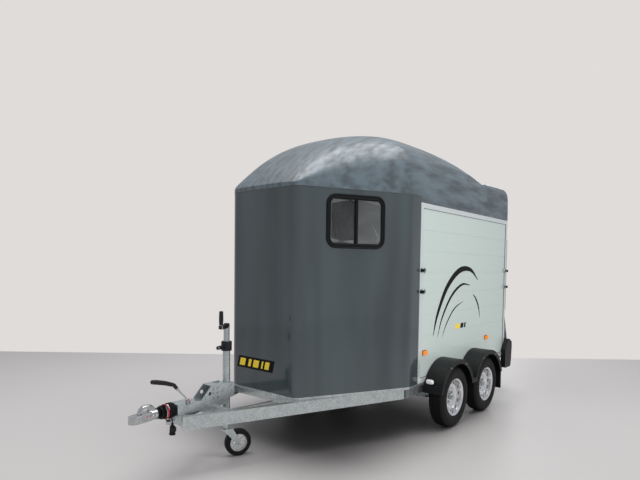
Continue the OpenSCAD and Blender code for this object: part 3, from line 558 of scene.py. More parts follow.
@dataclass
class Studio:
    """Camera, lamps and floor. The camera repeats the photograph's place, heading and lens."""

    focal_px: float = 499.43
    width_px: float = 640.0
    drop_px: float = 50.0
    place: tuple[float, float, float] = (5.010, 3.188, 1.571)
    yaw: float = 3.8435
    pitch: float = -0.0464
    roll: float = -0.0132
    floor_far: float = 8.8
    floor_half: float = 9.0
    lamps: tuple[tuple[str, tuple[float, float, float], tuple[float, float], float, bool], ...] = (
        ("overhead", (0.5, 0.5, 6.5), (7.0, 4.0), 330.0, False),
        ("left_soft", (1.5, 7.0, 2.3), (5.0, 3.0), 240.0, True),
        ("front_left", (5.5, 5.5, 2.0), (3.0, 3.0), 85.0, True),
        ("rear_soft", (-7.0, -2.5, 3.0), (4.0, 3.0), 110.0, False))
    wall: tuple[float, float, float] = (0.745, 0.715, 0.70)
    sky: tuple[float, float, float] = (0.93, 0.95, 1.0)
    sky_light: float = 0.50
    shadow_depth: float = 0.78
    shadow: dict[str, tuple[float, float, float]] = field(
        default_factory=lambda: {"X": (-0.45, 1.75, 0.50), "Y": (0.0, 0.98, 0.42)})

    def camera(self) -> None:
        """Makes the camera: forward from yaw and pitch, and the picture turned by the roll."""
        data = bpy.data.cameras.new("camera")
        data.sensor_width = 36.0
        data.lens = self.focal_px * data.sensor_width / self.width_px
        data.shift_y = self.drop_px / self.width_px
        cy, sy = math.cos(self.yaw), math.sin(self.yaw)
        cp, sp = math.cos(self.pitch), math.sin(self.pitch)
        forward = np.array([cy * cp, sy * cp, sp])
        right = np.cross(forward, [0, 0, 1.0])
        right /= np.linalg.norm(right)
        down = np.cross(forward, right)
        cr, sr = math.cos(self.roll), math.sin(self.roll)
        r2, d2 = cr * right + sr * down, -sr * right + cr * down
        basis = Matrix((r2, -d2, -forward)).transposed()
        cam = bpy.data.objects.new("camera", data)
        cam.matrix_world = Matrix.Translation(Vector(self.place) + Vector((ROAD_X, 0, 0))) @ basis.to_4x4()
        bpy.context.scene.collection.objects.link(cam)
        bpy.context.scene.camera = cam

    def floor(self) -> bpy.types.Object:
        """Makes a pale floor; its far edge is a level line behind the trailer.

        Returns:
            The floor.
        """
        ahead = np.array([math.cos(self.yaw), math.sin(self.yaw), 0.0])
        aside = np.array([-ahead[1], ahead[0], 0.0])
        camera = np.array([self.place[0] + ROAD_X, self.place[1], -0.001])
        points = [camera + far * ahead + wide * self.floor_half * aside
                  for far, wide in ((-3.0, -1), (-3.0, 1), (self.floor_far, 1), (self.floor_far, -1))]
        mesh = bpy.data.meshes.new("floor")
        mesh.from_pydata([p.tolist() for p in points], [], [[0, 3, 2, 1]])
        floor = bpy.data.objects.new("floor", mesh)
        bpy.context.scene.collection.objects.link(floor)
        material = Finish("studio_floor", "", (0.635, 0.605, 0.59), roughness=0.45, mottle=0.03,
                          mottle_scale=0.7, grain_scale=30.0, depth=0.01).material()
        self.shade(material.node_tree)
        mesh.materials.append(material)
        return floor

    def shade(self, tree: bpy.types.NodeTree) -> None:
        """Darkens the floor softly under the body, as in the photograph.

        The colour is multiplied by 1 - depth * s(x) * s(y), where s falls smoothly from 1 to 0 over the
        soft width on both sides of the footprint's edge.

        Args:
            tree: the floor's node tree.
        """
        coords = tree.nodes.new("ShaderNodeTexCoord").outputs["Object"]
        parts = tree.nodes.new("ShaderNodeSeparateXYZ")
        tree.links.new(coords, parts.inputs[0])
        falls = []
        for axis, (middle, half, soft) in self.shadow.items():
            offset = self.maths(tree, "SUBTRACT", parts.outputs[axis], middle)
            distance = self.maths(tree, "ABSOLUTE", offset, 0.0)
            fall = tree.nodes.new("ShaderNodeMapRange")
            fall.interpolation_type = "SMOOTHSTEP"
            fall.inputs["From Min"].default_value = half - soft
            fall.inputs["From Max"].default_value = half + soft
            fall.inputs["To Min"].default_value = 1.0
            fall.inputs["To Max"].default_value = 0.0
            tree.links.new(distance, fall.inputs["Value"])
            falls.append(fall.outputs["Result"])
        both = self.maths(tree, "MULTIPLY", falls[0], falls[1])
        depth = self.maths(tree, "MULTIPLY", both, self.shadow_depth)
        mix = tree.nodes.new("ShaderNodeMix")
        mix.data_type = "RGBA"
        mix.inputs["B"].default_value = (0.0, 0.0, 0.0, 1)
        base = tree.nodes["Principled BSDF"].inputs["Base Color"]
        tree.links.new(base.links[0].from_socket, mix.inputs["A"])
        tree.links.new(depth, mix.inputs["Factor"])
        tree.links.new(mix.outputs["Result"], base)

    @staticmethod
    def maths(tree: bpy.types.NodeTree, operation: str, first: bpy.types.NodeSocket,
              second: bpy.types.NodeSocket | float) -> bpy.types.NodeSocket:
        """Adds a maths node.

        Args:
            tree: the node tree.
            operation: the node's operation.
            first: its first input.
            second: its second input, a socket or a number.

        Returns:
            Its output.
        """
        node = tree.nodes.new("ShaderNodeMath")
        node.operation = operation
        tree.links.new(first, node.inputs[0])
        if isinstance(second, float):
            node.inputs[1].default_value = second
        else:
            tree.links.new(second, node.inputs[1])
        return node.outputs[0]

    def lamp(self, name: str, place: tuple[float, float, float], size: tuple[float, float], power: float,
             spared: bpy.types.Object | None) -> None:
        """Adds an area lamp that looks at the middle of the trailer.

        Args:
            name: the lamp's name.
            place: where it hangs, in metres.
            size: its width and height.
            power: its power in watts.
            spared: an object that a soft lamp doesn't light; glossy surfaces don't show such a lamp.
        """
        data = bpy.data.lights.new(name, "AREA")
        data.shape = "RECTANGLE"
        data.size, data.size_y = size
        data.energy = power
        lamp = bpy.data.objects.new(name, data)
        lamp.location = place
        lamp.visible_glossy = spared is None
        if spared:
            kept_out = bpy.data.collections.new(f"{name}_spares")
            kept_out.objects.link(spared)
            kept_out.collection_objects[0].light_linking.link_state = "EXCLUDE"
            lamp.light_linking.receiver_collection = kept_out
        lamp.rotation_euler = (Vector((0, 0, 1.2)) - Vector(place)).to_track_quat("-Z", "Y").to_euler()
        bpy.context.scene.collection.objects.link(lamp)

    def world(self) -> None:
        """Lights the scene plainly, and shows a pale wall to camera and transmission rays."""
        world = bpy.data.worlds.new("studio")
        bpy.context.scene.world = world
        world.use_nodes = True
        tree = world.node_tree
        light = tree.nodes["Background"]
        light.inputs["Color"].default_value = (*self.sky, 1)
        light.inputs["Strength"].default_value = self.sky_light
        wall = tree.nodes.new("ShaderNodeBackground")
        wall.inputs["Color"].default_value = (*self.wall, 1)
        path = tree.nodes.new("ShaderNodeLightPath")
        seen = tree.nodes.new("ShaderNodeMath")
        seen.operation = "MAXIMUM"
        tree.links.new(path.outputs["Is Camera Ray"], seen.inputs[0])
        tree.links.new(path.outputs["Is Transmission Ray"], seen.inputs[1])
        mix = tree.nodes.new("ShaderNodeMixShader")
        tree.links.new(seen.outputs[0], mix.inputs[0])
        tree.links.new(light.outputs[0], mix.inputs[1])
        tree.links.new(wall.outputs[0], mix.inputs[2])
        tree.links.new(mix.outputs[0], tree.nodes["World Output"].inputs["Surface"])

    def build(self) -> None:
        """Makes the camera, floor, lamps and world, and sets the plain view transform."""
        bpy.context.scene.view_settings.view_transform = "Standard"
        self.camera()
        floor = self.floor()
        for name, place, size, power, soft in self.lamps:
            self.lamp(name, place, size, power, floor if soft else None)
        self.world()


@dataclass
class RoadTyres:
    """Road tyres with a block tread, shoulder ribs and smooth sidewalls."""

    radius: float = 0.297
    section: tuple[tuple[float, float], ...] = ((0.166, -0.0620), (0.178, -0.0640), (0.196, -0.0730),
                                                (0.226, -0.0822), (0.256, -0.0800), (0.276, -0.0735),
                                                (0.288, -0.0640), (0.2945, -0.0540))
    tread_half: float = 0.0540
    groove: float = 0.0065
    grooves: tuple[float, ...] = (-0.030, -0.010, 0.010, 0.030)
    blocks: int = 72
    steps: int = 432

    def rings(self, centre: np.ndarray, side: int) -> np.ndarray:
        """Radius is the section's, less a groove where the place across or round is in a groove.

        The cross grooves lie on a slant: they are where the fractional part of
        blocks * (turn + slant * |across|) is under a fifth, outside the middle rib.

        Args:
            centre: the wheel's middle.
            side: 1 on the left, -1 on the right.

        Returns:
            Rings for Shape.loft with looped=True.
        """
        wall = np.array(self.section)
        across = np.linspace(-self.tread_half, self.tread_half, 49)[1:-1]
        crown = self.radius - 0.0022 * (across / self.tread_half) ** 4
        profile = np.vstack([wall, np.stack([crown, across], axis=1), wall[::-1] * [1, -1]])
        turn = np.linspace(0, 1, self.steps, endpoint=False)[:, None]
        y = profile[None, :, 1]
        near = np.min(np.abs(y[..., None] - np.array(self.grooves)), axis=-1)
        on_tread = (np.abs(y) < self.tread_half) & (profile[None, :, 0] > 0.29)
        ring_cut = (near < 0.0032) & on_tread
        slant = np.mod(self.blocks * (turn + 1.6 * np.abs(y)), 1.0)
        cross_cut = (slant < 0.22) & on_tread & (np.abs(y) > 0.0125)
        rib = (profile[None, :, 0] > 0.262) & (profile[None, :, 0] < 0.292) & (np.abs(y) > 0.056)
        shoulder_cut = (slant < 0.22) & rib
        depth = self.groove * np.maximum(ring_cut, 0.75 * cross_cut) + 0.0012 * shoulder_cut
        r = profile[None, :, 0] - depth
        t = turn * FULL_TURN
        return np.stack([centre[0] + r * np.sin(t), centre[1] + side * (y + 0 * t),
                         centre[2] + r * np.cos(t)], axis=-1)

    def build(self) -> None:
        """Makes the tyres and lets them stand for the CAD tyres."""
        for name, side, centre in wheels():
            piece = Shape().loft(self.rings(centre, side), looped=True).piece(
                f"tread_{name}", TYRE, f"wheel_{name}", sharp=25)
            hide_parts(f"tyre_{name}")


@dataclass
class WheelTrim:
    """Wheel bolts and valve on each road wheel."""

    face: float = 0.0065
    bolt_circle: float = 0.056
    bolt_count: int = 5
    bolt_turn: float = 0.3
    bolt_size: tuple[float, float] = (0.0105, 0.015)
    valve: tuple[float, float, float] = (0.128, 0.140, 0.026)  # radius at foot and tip, reach outwards

    def build(self) -> None:
        """Adds the trim to each wheel."""
        for name, side, centre in wheels():
            t = np.arange(self.bolt_count) * FULL_TURN / self.bolt_count + self.bolt_turn
            hub = centre + side * self.face * LEFT
            places = hub + self.bolt_circle * np.stack([np.sin(t), 0 * t, np.cos(t)], axis=1)
            bolts(Shape(), places, side * LEFT, *self.bolt_size, hexed=True).piece(
                f"wheel_bolts_{name}", BRIGHT_ZINC, f"wheel_{name}")
            foot, tip, out = self.valve
            stem = line(hub + [foot, 0, 0], hub + [tip, out * side, 0], 5)
            Shape().sweep(stem, 0.0042, 8).piece(f"valve_{name}", RUBBER, f"wheel_{name}")


@dataclass
class LightingCable:
    """The lighting cable: out of the right beam, round the bellows and down to its plug."""

    diameter: float = 0.008
    coil_radius: float = 0.0543
    coil_pitch: float = 0.0084
    coil_turns: float = 4.5
    coil_start: tuple[float, float] = (2924.0, 498.0)
    lead: tuple[tuple[float, float, float], ...] = ((2893, -75, 395), (2901, -75, 395), (2909, -75, 397),
                                                    (2919, -75, 405), (2926, -75, 416), (2929, -74, 429),
                                                    (2929, -72, 441), (2927, -67, 454), (2925, -61, 468),
                                                    (2924, -56, 483), (2924, -54, 498))
    tail: tuple[tuple[float, float, float], ...] = (
        (2962, 54, 498), (2962, 54, 484), (2961, 55, 470), (2959, 57, 456), (2957, 59, 442), (2956, 60, 430),
        (2956, 60, 418))

    def route(self) -> np.ndarray:
        """Joins the lead, the helix and the tail into one line.

        The helix at angle t is (start + pitch * t / turn, -R cos t, centre + R sin t).

        Returns:
            Points in the row frame.
        """
        t = np.linspace(0, self.coil_turns * FULL_TURN, int(self.coil_turns * 28) + 1)
        start = road(self.coil_start[0], 0, self.coil_start[1])
        helix = start + np.stack([self.coil_pitch * t / FULL_TURN, -self.coil_radius * np.cos(t),
                                  self.coil_radius * np.sin(t)], axis=1)
        lead = np.array([road(*p) for p in self.lead])[:-1]
        tail = np.array([road(*p) for p in self.tail])[1:]
        return np.vstack([lead, helix, tail])

    def build(self) -> None:
        """Makes the cable as one cord in place of the CAD cable's three parts."""
        path = self.route()
        cable = Shape().sweep(path, self.diameter / 2, 12).piece(
            "lighting_cable", RUBBER, "trailer", sharp=60)
        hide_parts("cable_lead", "cable_coil", "cable_tail")


@dataclass(frozen=True)
class SlantedFace:
    """One of the two slanted front faces; places on it are (back from the nose corner, outwards, up)."""

    side: Side
    nose: tuple[float, float] = (2020.0, 400.0)
    corner: tuple[float, float] = (1025.0, 890.0)

    def axes(self) -> tuple[np.ndarray, np.ndarray]:
        """The face's level direction, running back from the nose, and its outward direction."""
        run = np.array([self.corner[0] - self.nose[0], self.corner[1] - self.nose[1]])
        run /= np.linalg.norm(run)
        return (np.array([run[0], self.side.value * run[1], 0.0]),
                np.array([run[1], -self.side.value * run[0], 0.0]))

    def place(self, along: float, out: float, z: float) -> np.ndarray:
        """Turns a place on the face, in millimetres, into metres in the row frame.

        Args:
            along: distance back from the nose corner.
            out: distance outwards from the face.
            z: height above the ground.

        Returns:
            The point.
        """
        back, outward = self.axes()
        return road(self.nose[0], self.side.value * self.nose[1], z) + MM * (along * back + out * outward)

    def outline(self, points: np.ndarray, along: float, out: float, z: float) -> np.ndarray:
        """Lays (across, up) points in metres on the face about a place."""
        back, _ = self.axes()
        return self.place(along, out, z) + points[:, :1] * back + points[:, 1:] * UP

    def plate(self, points: np.ndarray, along: float, out: float, z: float, thick: float,
              bevel: float = 0.0008) -> np.ndarray:
        """Rings of a plate on the face, for Shape.loft.

        Args:
            points: (across, up) outline in metres.
            along: its middle's distance back from the nose corner.
            out: its back face's distance outwards.
            z: its middle's height.
            thick: its thickness in metres.
            bevel: size of its edge's bevel.

        Returns:
            The rings.
        """
        back, _ = self.axes()
        across = self.side.value * back
        return slab(points * [self.side.value, 1], self.place(along, out, z), across, UP, thick, bevel)


def box_rings(lo: np.ndarray, hi: np.ndarray, bevel: float = 0.0015) -> np.ndarray:
    """Rings of a block with bevelled edges between two corners, for Shape.loft."""
    size, middle = np.abs(hi - lo), (lo + hi) / 2
    r = min(bevel, 0.45 * size[0], 0.45 * size[1])
    base = middle - [0, 0, size[2] / 2]
    return slab(rounded_outline(size[0], size[1], r, 3), base, AHEAD, LEFT,
                size[2], min(bevel, 0.45 * size[2]))


def bead(path: np.ndarray, radius: float, sides: int = 8) -> np.ndarray:
    """A round bead along a closed flat loop.

    Ring i is path_i + radius * (n cos t + b_i sin t): n is the loop's normal, b_i = n x heading_i.

    Args:
        path: points of the loop, the first not repeated.
        radius: the bead's radius.
        sides: points round it.

    Returns:
        Rings for Shape.loft with looped=True.
    """
    heading = np.roll(path, -1, axis=0) - np.roll(path, 1, axis=0)
    heading /= np.linalg.norm(heading, axis=1)[:, None]
    flat = path - path.mean(0)
    normal = np.cross(flat, np.roll(flat, -1, axis=0)).sum(0)
    normal /= np.linalg.norm(normal)
    t = np.linspace(0, FULL_TURN, sides, endpoint=False)[None, :, None]
    return path[:, None] + radius * (np.cos(t) * normal + np.sin(t) * np.cross(normal, heading)[:, None])


def stroke(path: np.ndarray, width: np.ndarray, normal: np.ndarray, thick: float = 0.0004) -> np.ndarray:
    """A flat stripe of changing width along a path on a plane.

    Ring i has the corners path_i +- width_i / 2 * s_i, at 0 and thick along the normal, where s_i is
    the normal crossed with the heading.

    Args:
        path: points on the plane.
        width: the stripe's width at each point.
        normal: the plane's outward direction.
        thick: the film's thickness.

    Returns:
        Rings for Shape.loft.
    """
    heading = np.gradient(path, axis=0)
    heading /= np.linalg.norm(heading, axis=1)[:, None]
    s = np.cross(normal, heading) * width[:, None] / 2
    return np.stack([path - s, path + s, path + s + thick * normal, path - s + thick * normal], axis=1)


def smooth_path(knots: np.ndarray, count: int) -> np.ndarray:
    """A Catmull-Rom curve through knots.

    Between knots b and c, with neighbours a and d, the point at t is
    (2b + (c - a) t + (2a - 5b + 4c - d) t^2 + (3b - 3c + d - a) t^3) / 2.

    Args:
        knots: points of any dimension.
        count: points between two knots.

    Returns:
        The curve's points.
    """
    k = np.vstack([2 * knots[0] - knots[1], knots, 2 * knots[-1] - knots[-2]])
    t = np.linspace(0, 1, count, endpoint=False)[:, None]
    spans = [0.5 * (2 * b + (c - a) * t + (2 * a - 5 * b + 4 * c - d) * t ** 2
                    + (3 * b - 3 * c + d - a) * t ** 3)
             for a, b, c, d in zip(k[:-3], k[1:-2], k[2:-1], k[3:])]
    return np.vstack([*spans, knots[-1:]])


def round_corner(before: np.ndarray, here: np.ndarray, after: np.ndarray, radius: float,
                 count: int) -> np.ndarray:
    """An arc that rounds a corner and touches both of its edges.

    With h half the corner's angle, the arc's middle lies radius / sin h from the corner along the
    bisector, and the arc turns through pi - 2h.

    Args:
        before: a point on the first edge.
        here: the corner.
        after: a point on the second edge.
        radius: the arc's radius.
        count: how many points it gets.

    Returns:
        Points (x, y), from the first edge to the second.
    """
    a, b = before - here, after - here
    a, b = a / np.linalg.norm(a), b / np.linalg.norm(b)
    half = math.acos(float(a @ b)) / 2
    middle = here + (a + b) / np.linalg.norm(a + b) * radius / math.sin(half)
    start = here + a * radius / math.tan(half) - middle
    turn = math.copysign(1.0, float(b[0] * a[1] - b[1] * a[0]))
    t = turn * np.linspace(0, math.pi - 2 * half, count)[:, None]
    return middle + np.cos(t) * start + np.sin(t) * np.array([[-start[1], start[0]]])


@dataclass
class RoofSkin:
    """The domed roof as a smooth moulding: squarish arches over the body's plan, with a 20 mm wall."""

    shell: float = 20.0
    half_w: float = 890.0
    nose: tuple[float, float] = (2020.0, 400.0)
    corner_x: float = 1025.0
    tail_x: float = -1350.0
    step_x: float = 856.0
    base: tuple[float, float] = (2235.3, 2180.3)
    rows: tuple[tuple[float, float, float, float], ...] = (
        (-1350, 2635, 2300, 5.5), (-1150, 2642, 2300, 5.0), (-900, 2640, 2300, 4.6), (-700, 2655, 2302, 4.0),
        (-450, 2750, 2305, 3.3), (-150, 2828, 2310, 2.9), (150, 2868, 2315, 2.7), (500, 2880, 2325, 2.6),
        (1000, 2855, 2335, 2.6), (1150, 2828, 2325, 2.6), (1300, 2785, 2315, 2.6), (1500, 2695, 2300, 2.7),
        (1700, 2570, 2285, 2.8), (1850, 2448, 2272, 3.0), (1950, 2355, 2262, 3.2), (2020, 2272, 2255, 3.4))
    arch_points: int = 40

    def along(self, x: np.ndarray, column: int) -> np.ndarray:
        """Reads a column of the rows at x by cubic pieces that share the rows' slopes.

        Args:
            x: where to read.
            column: 1 crown, 2 crease, 3 squareness.

        Returns:
            The values at x.
        """
        rows = np.array(self.rows)
        knots, values = rows[:, 0], rows[:, column]
        slopes = np.gradient(values, knots)
        k = np.clip(np.searchsorted(knots, x) - 1, 0, len(knots) - 2)
        span = knots[k + 1] - knots[k]
        t = (x - knots[k]) / span
        return ((2 * t ** 3 - 3 * t ** 2 + 1) * values[k] + (t ** 3 - 2 * t ** 2 + t) * span * slopes[k]
                + (3 * t ** 2 - 2 * t ** 3) * values[k + 1] + (t ** 3 - t ** 2) * span * slopes[k + 1])

    def stations(self, inset: float) -> np.ndarray:
        """Places (x, half width) from the nose to the tail along the plan drawn in by inset."""
        nose, side = np.array([self.nose[0] - inset, 0.0]), self.half_w - inset
        run = np.array([self.nose[0] - self.corner_x, self.nose[1] - self.half_w])
        out = np.array([-run[1], run[0]]) / np.linalg.norm(run)
        reach = float(out @ np.array(self.nose)) - inset
        first = np.array([nose[0], (reach - out[0] * nose[0]) / out[1]])
        second = np.array([(reach - out[1] * side) / out[0], side])
        arc_a = round_corner(nose, first, second, 110 - inset, 14)
        arc_b = round_corner(first, second, np.array([self.tail_x, side]), 140 - inset, 12)
        straight = line(arc_a[-1], arc_b[0], 30)[1:-1]
        ahead = line(arc_b[-1], np.array([self.step_x + 0.3, side]), 8)[1:]
        behind = line(np.array([self.step_x - 0.3, side]), np.array([self.tail_x, side]), 90)
        return np.vstack([arc_a, straight, arc_b, ahead, behind])

    def grid(self, inset: float) -> np.ndarray:
        """Points (station, arch): at angle a the arch lies at (w cos a, rise sin a) / D above the crease.

        D is (cos^n a + sin^n a)^(1 / n), with n the squareness, so larger n gives squarer shoulders.

        Args:
            inset: how far inside the outer face.

        Returns:
            Array of shape (stations, arch points, 3) in metres.
        """
        plan = self.stations(inset)
        x, w = plan[:, :1], plan[:, 1:]
        n, crease = self.along(x, 3), self.along(x, 2)
        rise = self.along(x, 1) - inset - crease
        a = np.linspace(0, math.pi, self.arch_points * 2 + 1)[None]
        c, s = np.abs(np.cos(a)), np.abs(np.sin(a))
        d = (c ** n + s ** n) ** (1 / n)
        y, z = np.sign(np.cos(a)) * w * c / d, crease + rise * s / d
        y[:, self.arch_points] = 0.0
        foot = np.where(x > self.step_x, self.base[0], self.base[1])
        y, z = np.hstack([w, y, -w]), np.hstack([foot, z, foot])
        return np.stack([x * MM + ROAD_X + 0 * y, y * MM, z * MM], axis=-1)

    def build(self) -> None:
        """Joins the outer and the inner grid at their feet, at the tail and at the nose."""
        outer, inner = self.grid(0.0), self.grid(self.shell)
        m, n = outer.shape[:2]
        o = np.arange(m * n).reshape(m, n)
        i = o + m * n
        quads = [np.stack([g[:-1, :-1], g[:-1, 1:], g[1:, 1:], g[1:, :-1]], axis=-1).reshape(-1, 4)
                 for g in (o, i)]
        for a, b in ((o[:, 0], i[:, 0]), (o[:, -1], i[:, -1]), (o[-1], i[-1])):
            quads.append(np.stack([a[:-1], a[1:], b[1:], b[:-1]], axis=-1))
        faces = np.vstack(quads).tolist() + [
            o[0].tolist(), i[0].tolist(), [o[0, 0], o[0, -1], i[0, -1], i[0, 0]]]
        shape = Shape()
        shape.points, shape.faces, shape.count = [
            outer.reshape(-1, 3), inner.reshape(-1, 3)], faces, 2 * m * n
        # The roof skin wears the painted sky reflection: lighter, bluer streaks over the slate gelcoat.
        roof = shape.piece("roof_skin", ROOF_PAINTED_SKY_SHEEN, "trailer", sharp=32, outwards=True)
        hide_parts("roof_shell")


@dataclass
class SteelWheel:
    """Steel road wheels: a rolled rim, a dished disc with a ring of oval vents, a drum with its dust shield,
    and a grease cap. The drum's near-black flange just behind the vent ring is painted shade seen through the
    vents."""

    vents: int = 16
    vent: tuple[float, float] = (11.5, 14.5)
    band: tuple[float, float] = (122.0, 158.0)
    plate: float = 3.5
    rim: tuple[tuple[float, float], ...] = (
        (181, -70), (181, -66), (169, -61), (164, -42), (164, 40), (169, 59), (180, 64), (184, 67), (184, 70),
        (181, 71.5), (176, 69), (164, 63), (160, 44), (159, -44), (163, -64), (176, -71))
    dish: tuple[tuple[float, float], ...] = ((33, 6), (66, 6), (72, 7), (78, 14), (84, 22), (92, 27),
                                             (106, 31), (118, 32), (130, 29.5), (142, 24.5), (152, 19),
                                             (160, 14))
    # From (138, -2) out to (157, 5) the drum is a flange right behind the vents; with its near-black finish
    # it is painted shade there.
    drum: tuple[tuple[float, float], ...] = (
        (22, -62), (140, -62), (145, -56), (145, -44), (138, -40), (138, -2), (157, -1), (157, 5), (150, 7),
        (104, 7.5), (84, 2.5), (22, 2.5))
    cap: tuple[tuple[float, float], ...] = ((0.1, 2), (34, 2), (34, 9), (31, 10), (30, 34), (26, 41),
                                            (18, 43.5), (0.1, 44))
    ring_shares: tuple[tuple[float, float], ...] = ((1.0, 0.0), (0.5, 0.0), (0.12, 0.0), (0.03, 0.3),
                                                    (0.0, 1.2))

    def height(self, radius: np.ndarray) -> np.ndarray:
        """The disc's outer face at a radius, read from the dish's points."""
        points = np.array(self.dish)
        return np.interp(radius, points[:, 0], points[:, 1])

    def vent_ring(self, turn: float) -> np.ndarray:
        """One vent's field of the disc, as a closed ring round an oval hole.

        In a field's own (radial, round) coordinates a point at angle f and share s lies at
        (1 - s) * oval(f) + s * rectangle(f), where rectangle(f) is where the ray at f leaves the field.
        The rings run over the face into the hole and back along the rear face.

        Args:
            turn: where the vent lies round the wheel.

        Returns:
            Array of shape (rings, points, 3) of (radius, turn, height).
        """
        middle = sum(self.band) / 2
        half = np.array([(self.band[1] - self.band[0]) / 2, middle * math.pi / self.vents])
        f = (np.arange(32) + 0.5) * FULL_TURN / 32
        ray = np.stack([np.cos(f), np.sin(f)], axis=1)
        oval = ray * np.array(self.vent)
        field_edge = ray * np.min(half / np.abs(ray), axis=1)[:, None]
        rings = []
        for share, drop in (*self.ring_shares, (0.0, self.plate), (1.0, self.plate)):
            p = (1 - share) * oval + share * field_edge
            radius = middle + p[:, 0]
            rings.append(np.stack([radius, turn + p[:, 1] / middle, self.height(radius) - drop], axis=1))
        return np.array(rings)

    def build(self) -> None:
        """Makes the four wheels and lets them stand for the CAD rims."""
        face, (low, high) = np.array(self.dish), self.band
        inner, outer = face[face[:, 0] <= low - 4], face[face[:, 0] >= high - 6]
        parts = (np.vstack([inner, [[low + 1, self.height(low + 1)]]]),
                 np.vstack([[[high - 1, self.height(high - 1)]], outer[1:], [[high + 4, 12.5]]]))
        for name, side, centre in wheels():
            axis, body = side * LEFT, f"wheel_{name}"
            metal = Shape().turn(np.array(self.rim) * MM, centre, axis, 96)
            for part in parts:
                back = part[::-1] - [0, self.plate]
                metal.turn(np.vstack([part, back]) * MM, centre, axis, 96)
            for k in range(self.vents):
                r, t, h = np.moveaxis(self.vent_ring(k * FULL_TURN / self.vents), -1, 0)
                metal.loft(centre + MM * np.stack([r * np.sin(t), side * h, r * np.cos(t)], axis=-1),
                           looped=True)
            wheel = metal.piece(f"steel_wheel_{name}", WHEEL_SILVER, body, sharp=40)
            Shape().turn(np.array(self.drum) * MM, centre, axis, 64).piece(
                f"brake_drum_{name}", DRUM_IRON_AND_VENT_SHADE, body, sharp=40)
            Shape().turn(np.array(self.cap) * MM, centre, axis, 48).piece(
                f"grease_cap_{name}", BRIGHT_ZINC, body, sharp=30)
            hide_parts(f"rim_{name}")


@dataclass
class Windows:
    """Rubber lips round the two front windows, pane rails, and two panes in each: the front pane painted near
    black as shade, the rear pane painted pale as a reflection.
    """

    size: tuple[float, float] = (0.516, 0.416)
    door_size: tuple[float, float] = (0.516, 0.380)
    corner: float = 0.066
    along: tuple[float, float] = (546.0, 555.0)
    height: tuple[float, float] = (1960.0, 1850.0)
    lip_out: float = 10.5

    def lip(self, face: SlantedFace, size: tuple[float, float], along: float, z: float) -> Shape:
        """Two beads and a flat rail round a window."""
        shape = Shape()
        for grow, radius in ((0.030, 0.0062), (-0.020, 0.0048)):
            loop = rounded_outline(size[0] + grow, size[1] + grow, self.corner + grow / 2, 10)
            shape.bead(face.outline(loop, along, self.lip_out, z), radius, 10)
        return shape

    def build(self) -> None:
        """Makes the lips and rails of both windows."""
        for side, size, along, z, body in ((Side.LEFT, self.size, self.along[0], self.height[0], "trailer"),
                                           (Side.RIGHT, self.door_size, self.along[1], self.height[1],
                                            "groom_door")):
            face, tag = SlantedFace(side), side.name.lower()
            self.lip(face, size, along, z).piece(f"window_lip_{tag}", BLACK_PLASTIC, body, sharp=60)
            rails = Shape()
            for edge in (-1, 1):
                rails.loft(face.plate(rounded_outline(0.009, size[1] - 0.034, 0.001), along + edge * 15, -3.0,
                                      z, 0.0035))
            for edge in (-1, 1):
                rails.loft(face.plate(rounded_outline(size[0] - 0.07, 0.010, 0.001), along, -3.0,
                                      z + edge * (size[1] * 500 - 18), 0.004))
            rails.piece(f"window_rails_{tag}", BLACK_PLASTIC, body)
            # The front pane gets painted shade, the rear pane a painted reflection; both are streaked.
            for edge, finish, end in ((-1, PANE_PAINTED_SHADE, "front"), (1, PANE_PAINTED_REFLECTION, "rear")):
                outline = rounded_outline(size[0] / 2 - 0.036, size[1] - 0.046, 0.030)
                pane = face.plate(outline, along + edge * (size[0] * 250 - 6), -2.9, z, 0.0009, 0.0002)
                Shape().loft(pane).piece(f"window_pane_{tag}_{end}", finish, body)


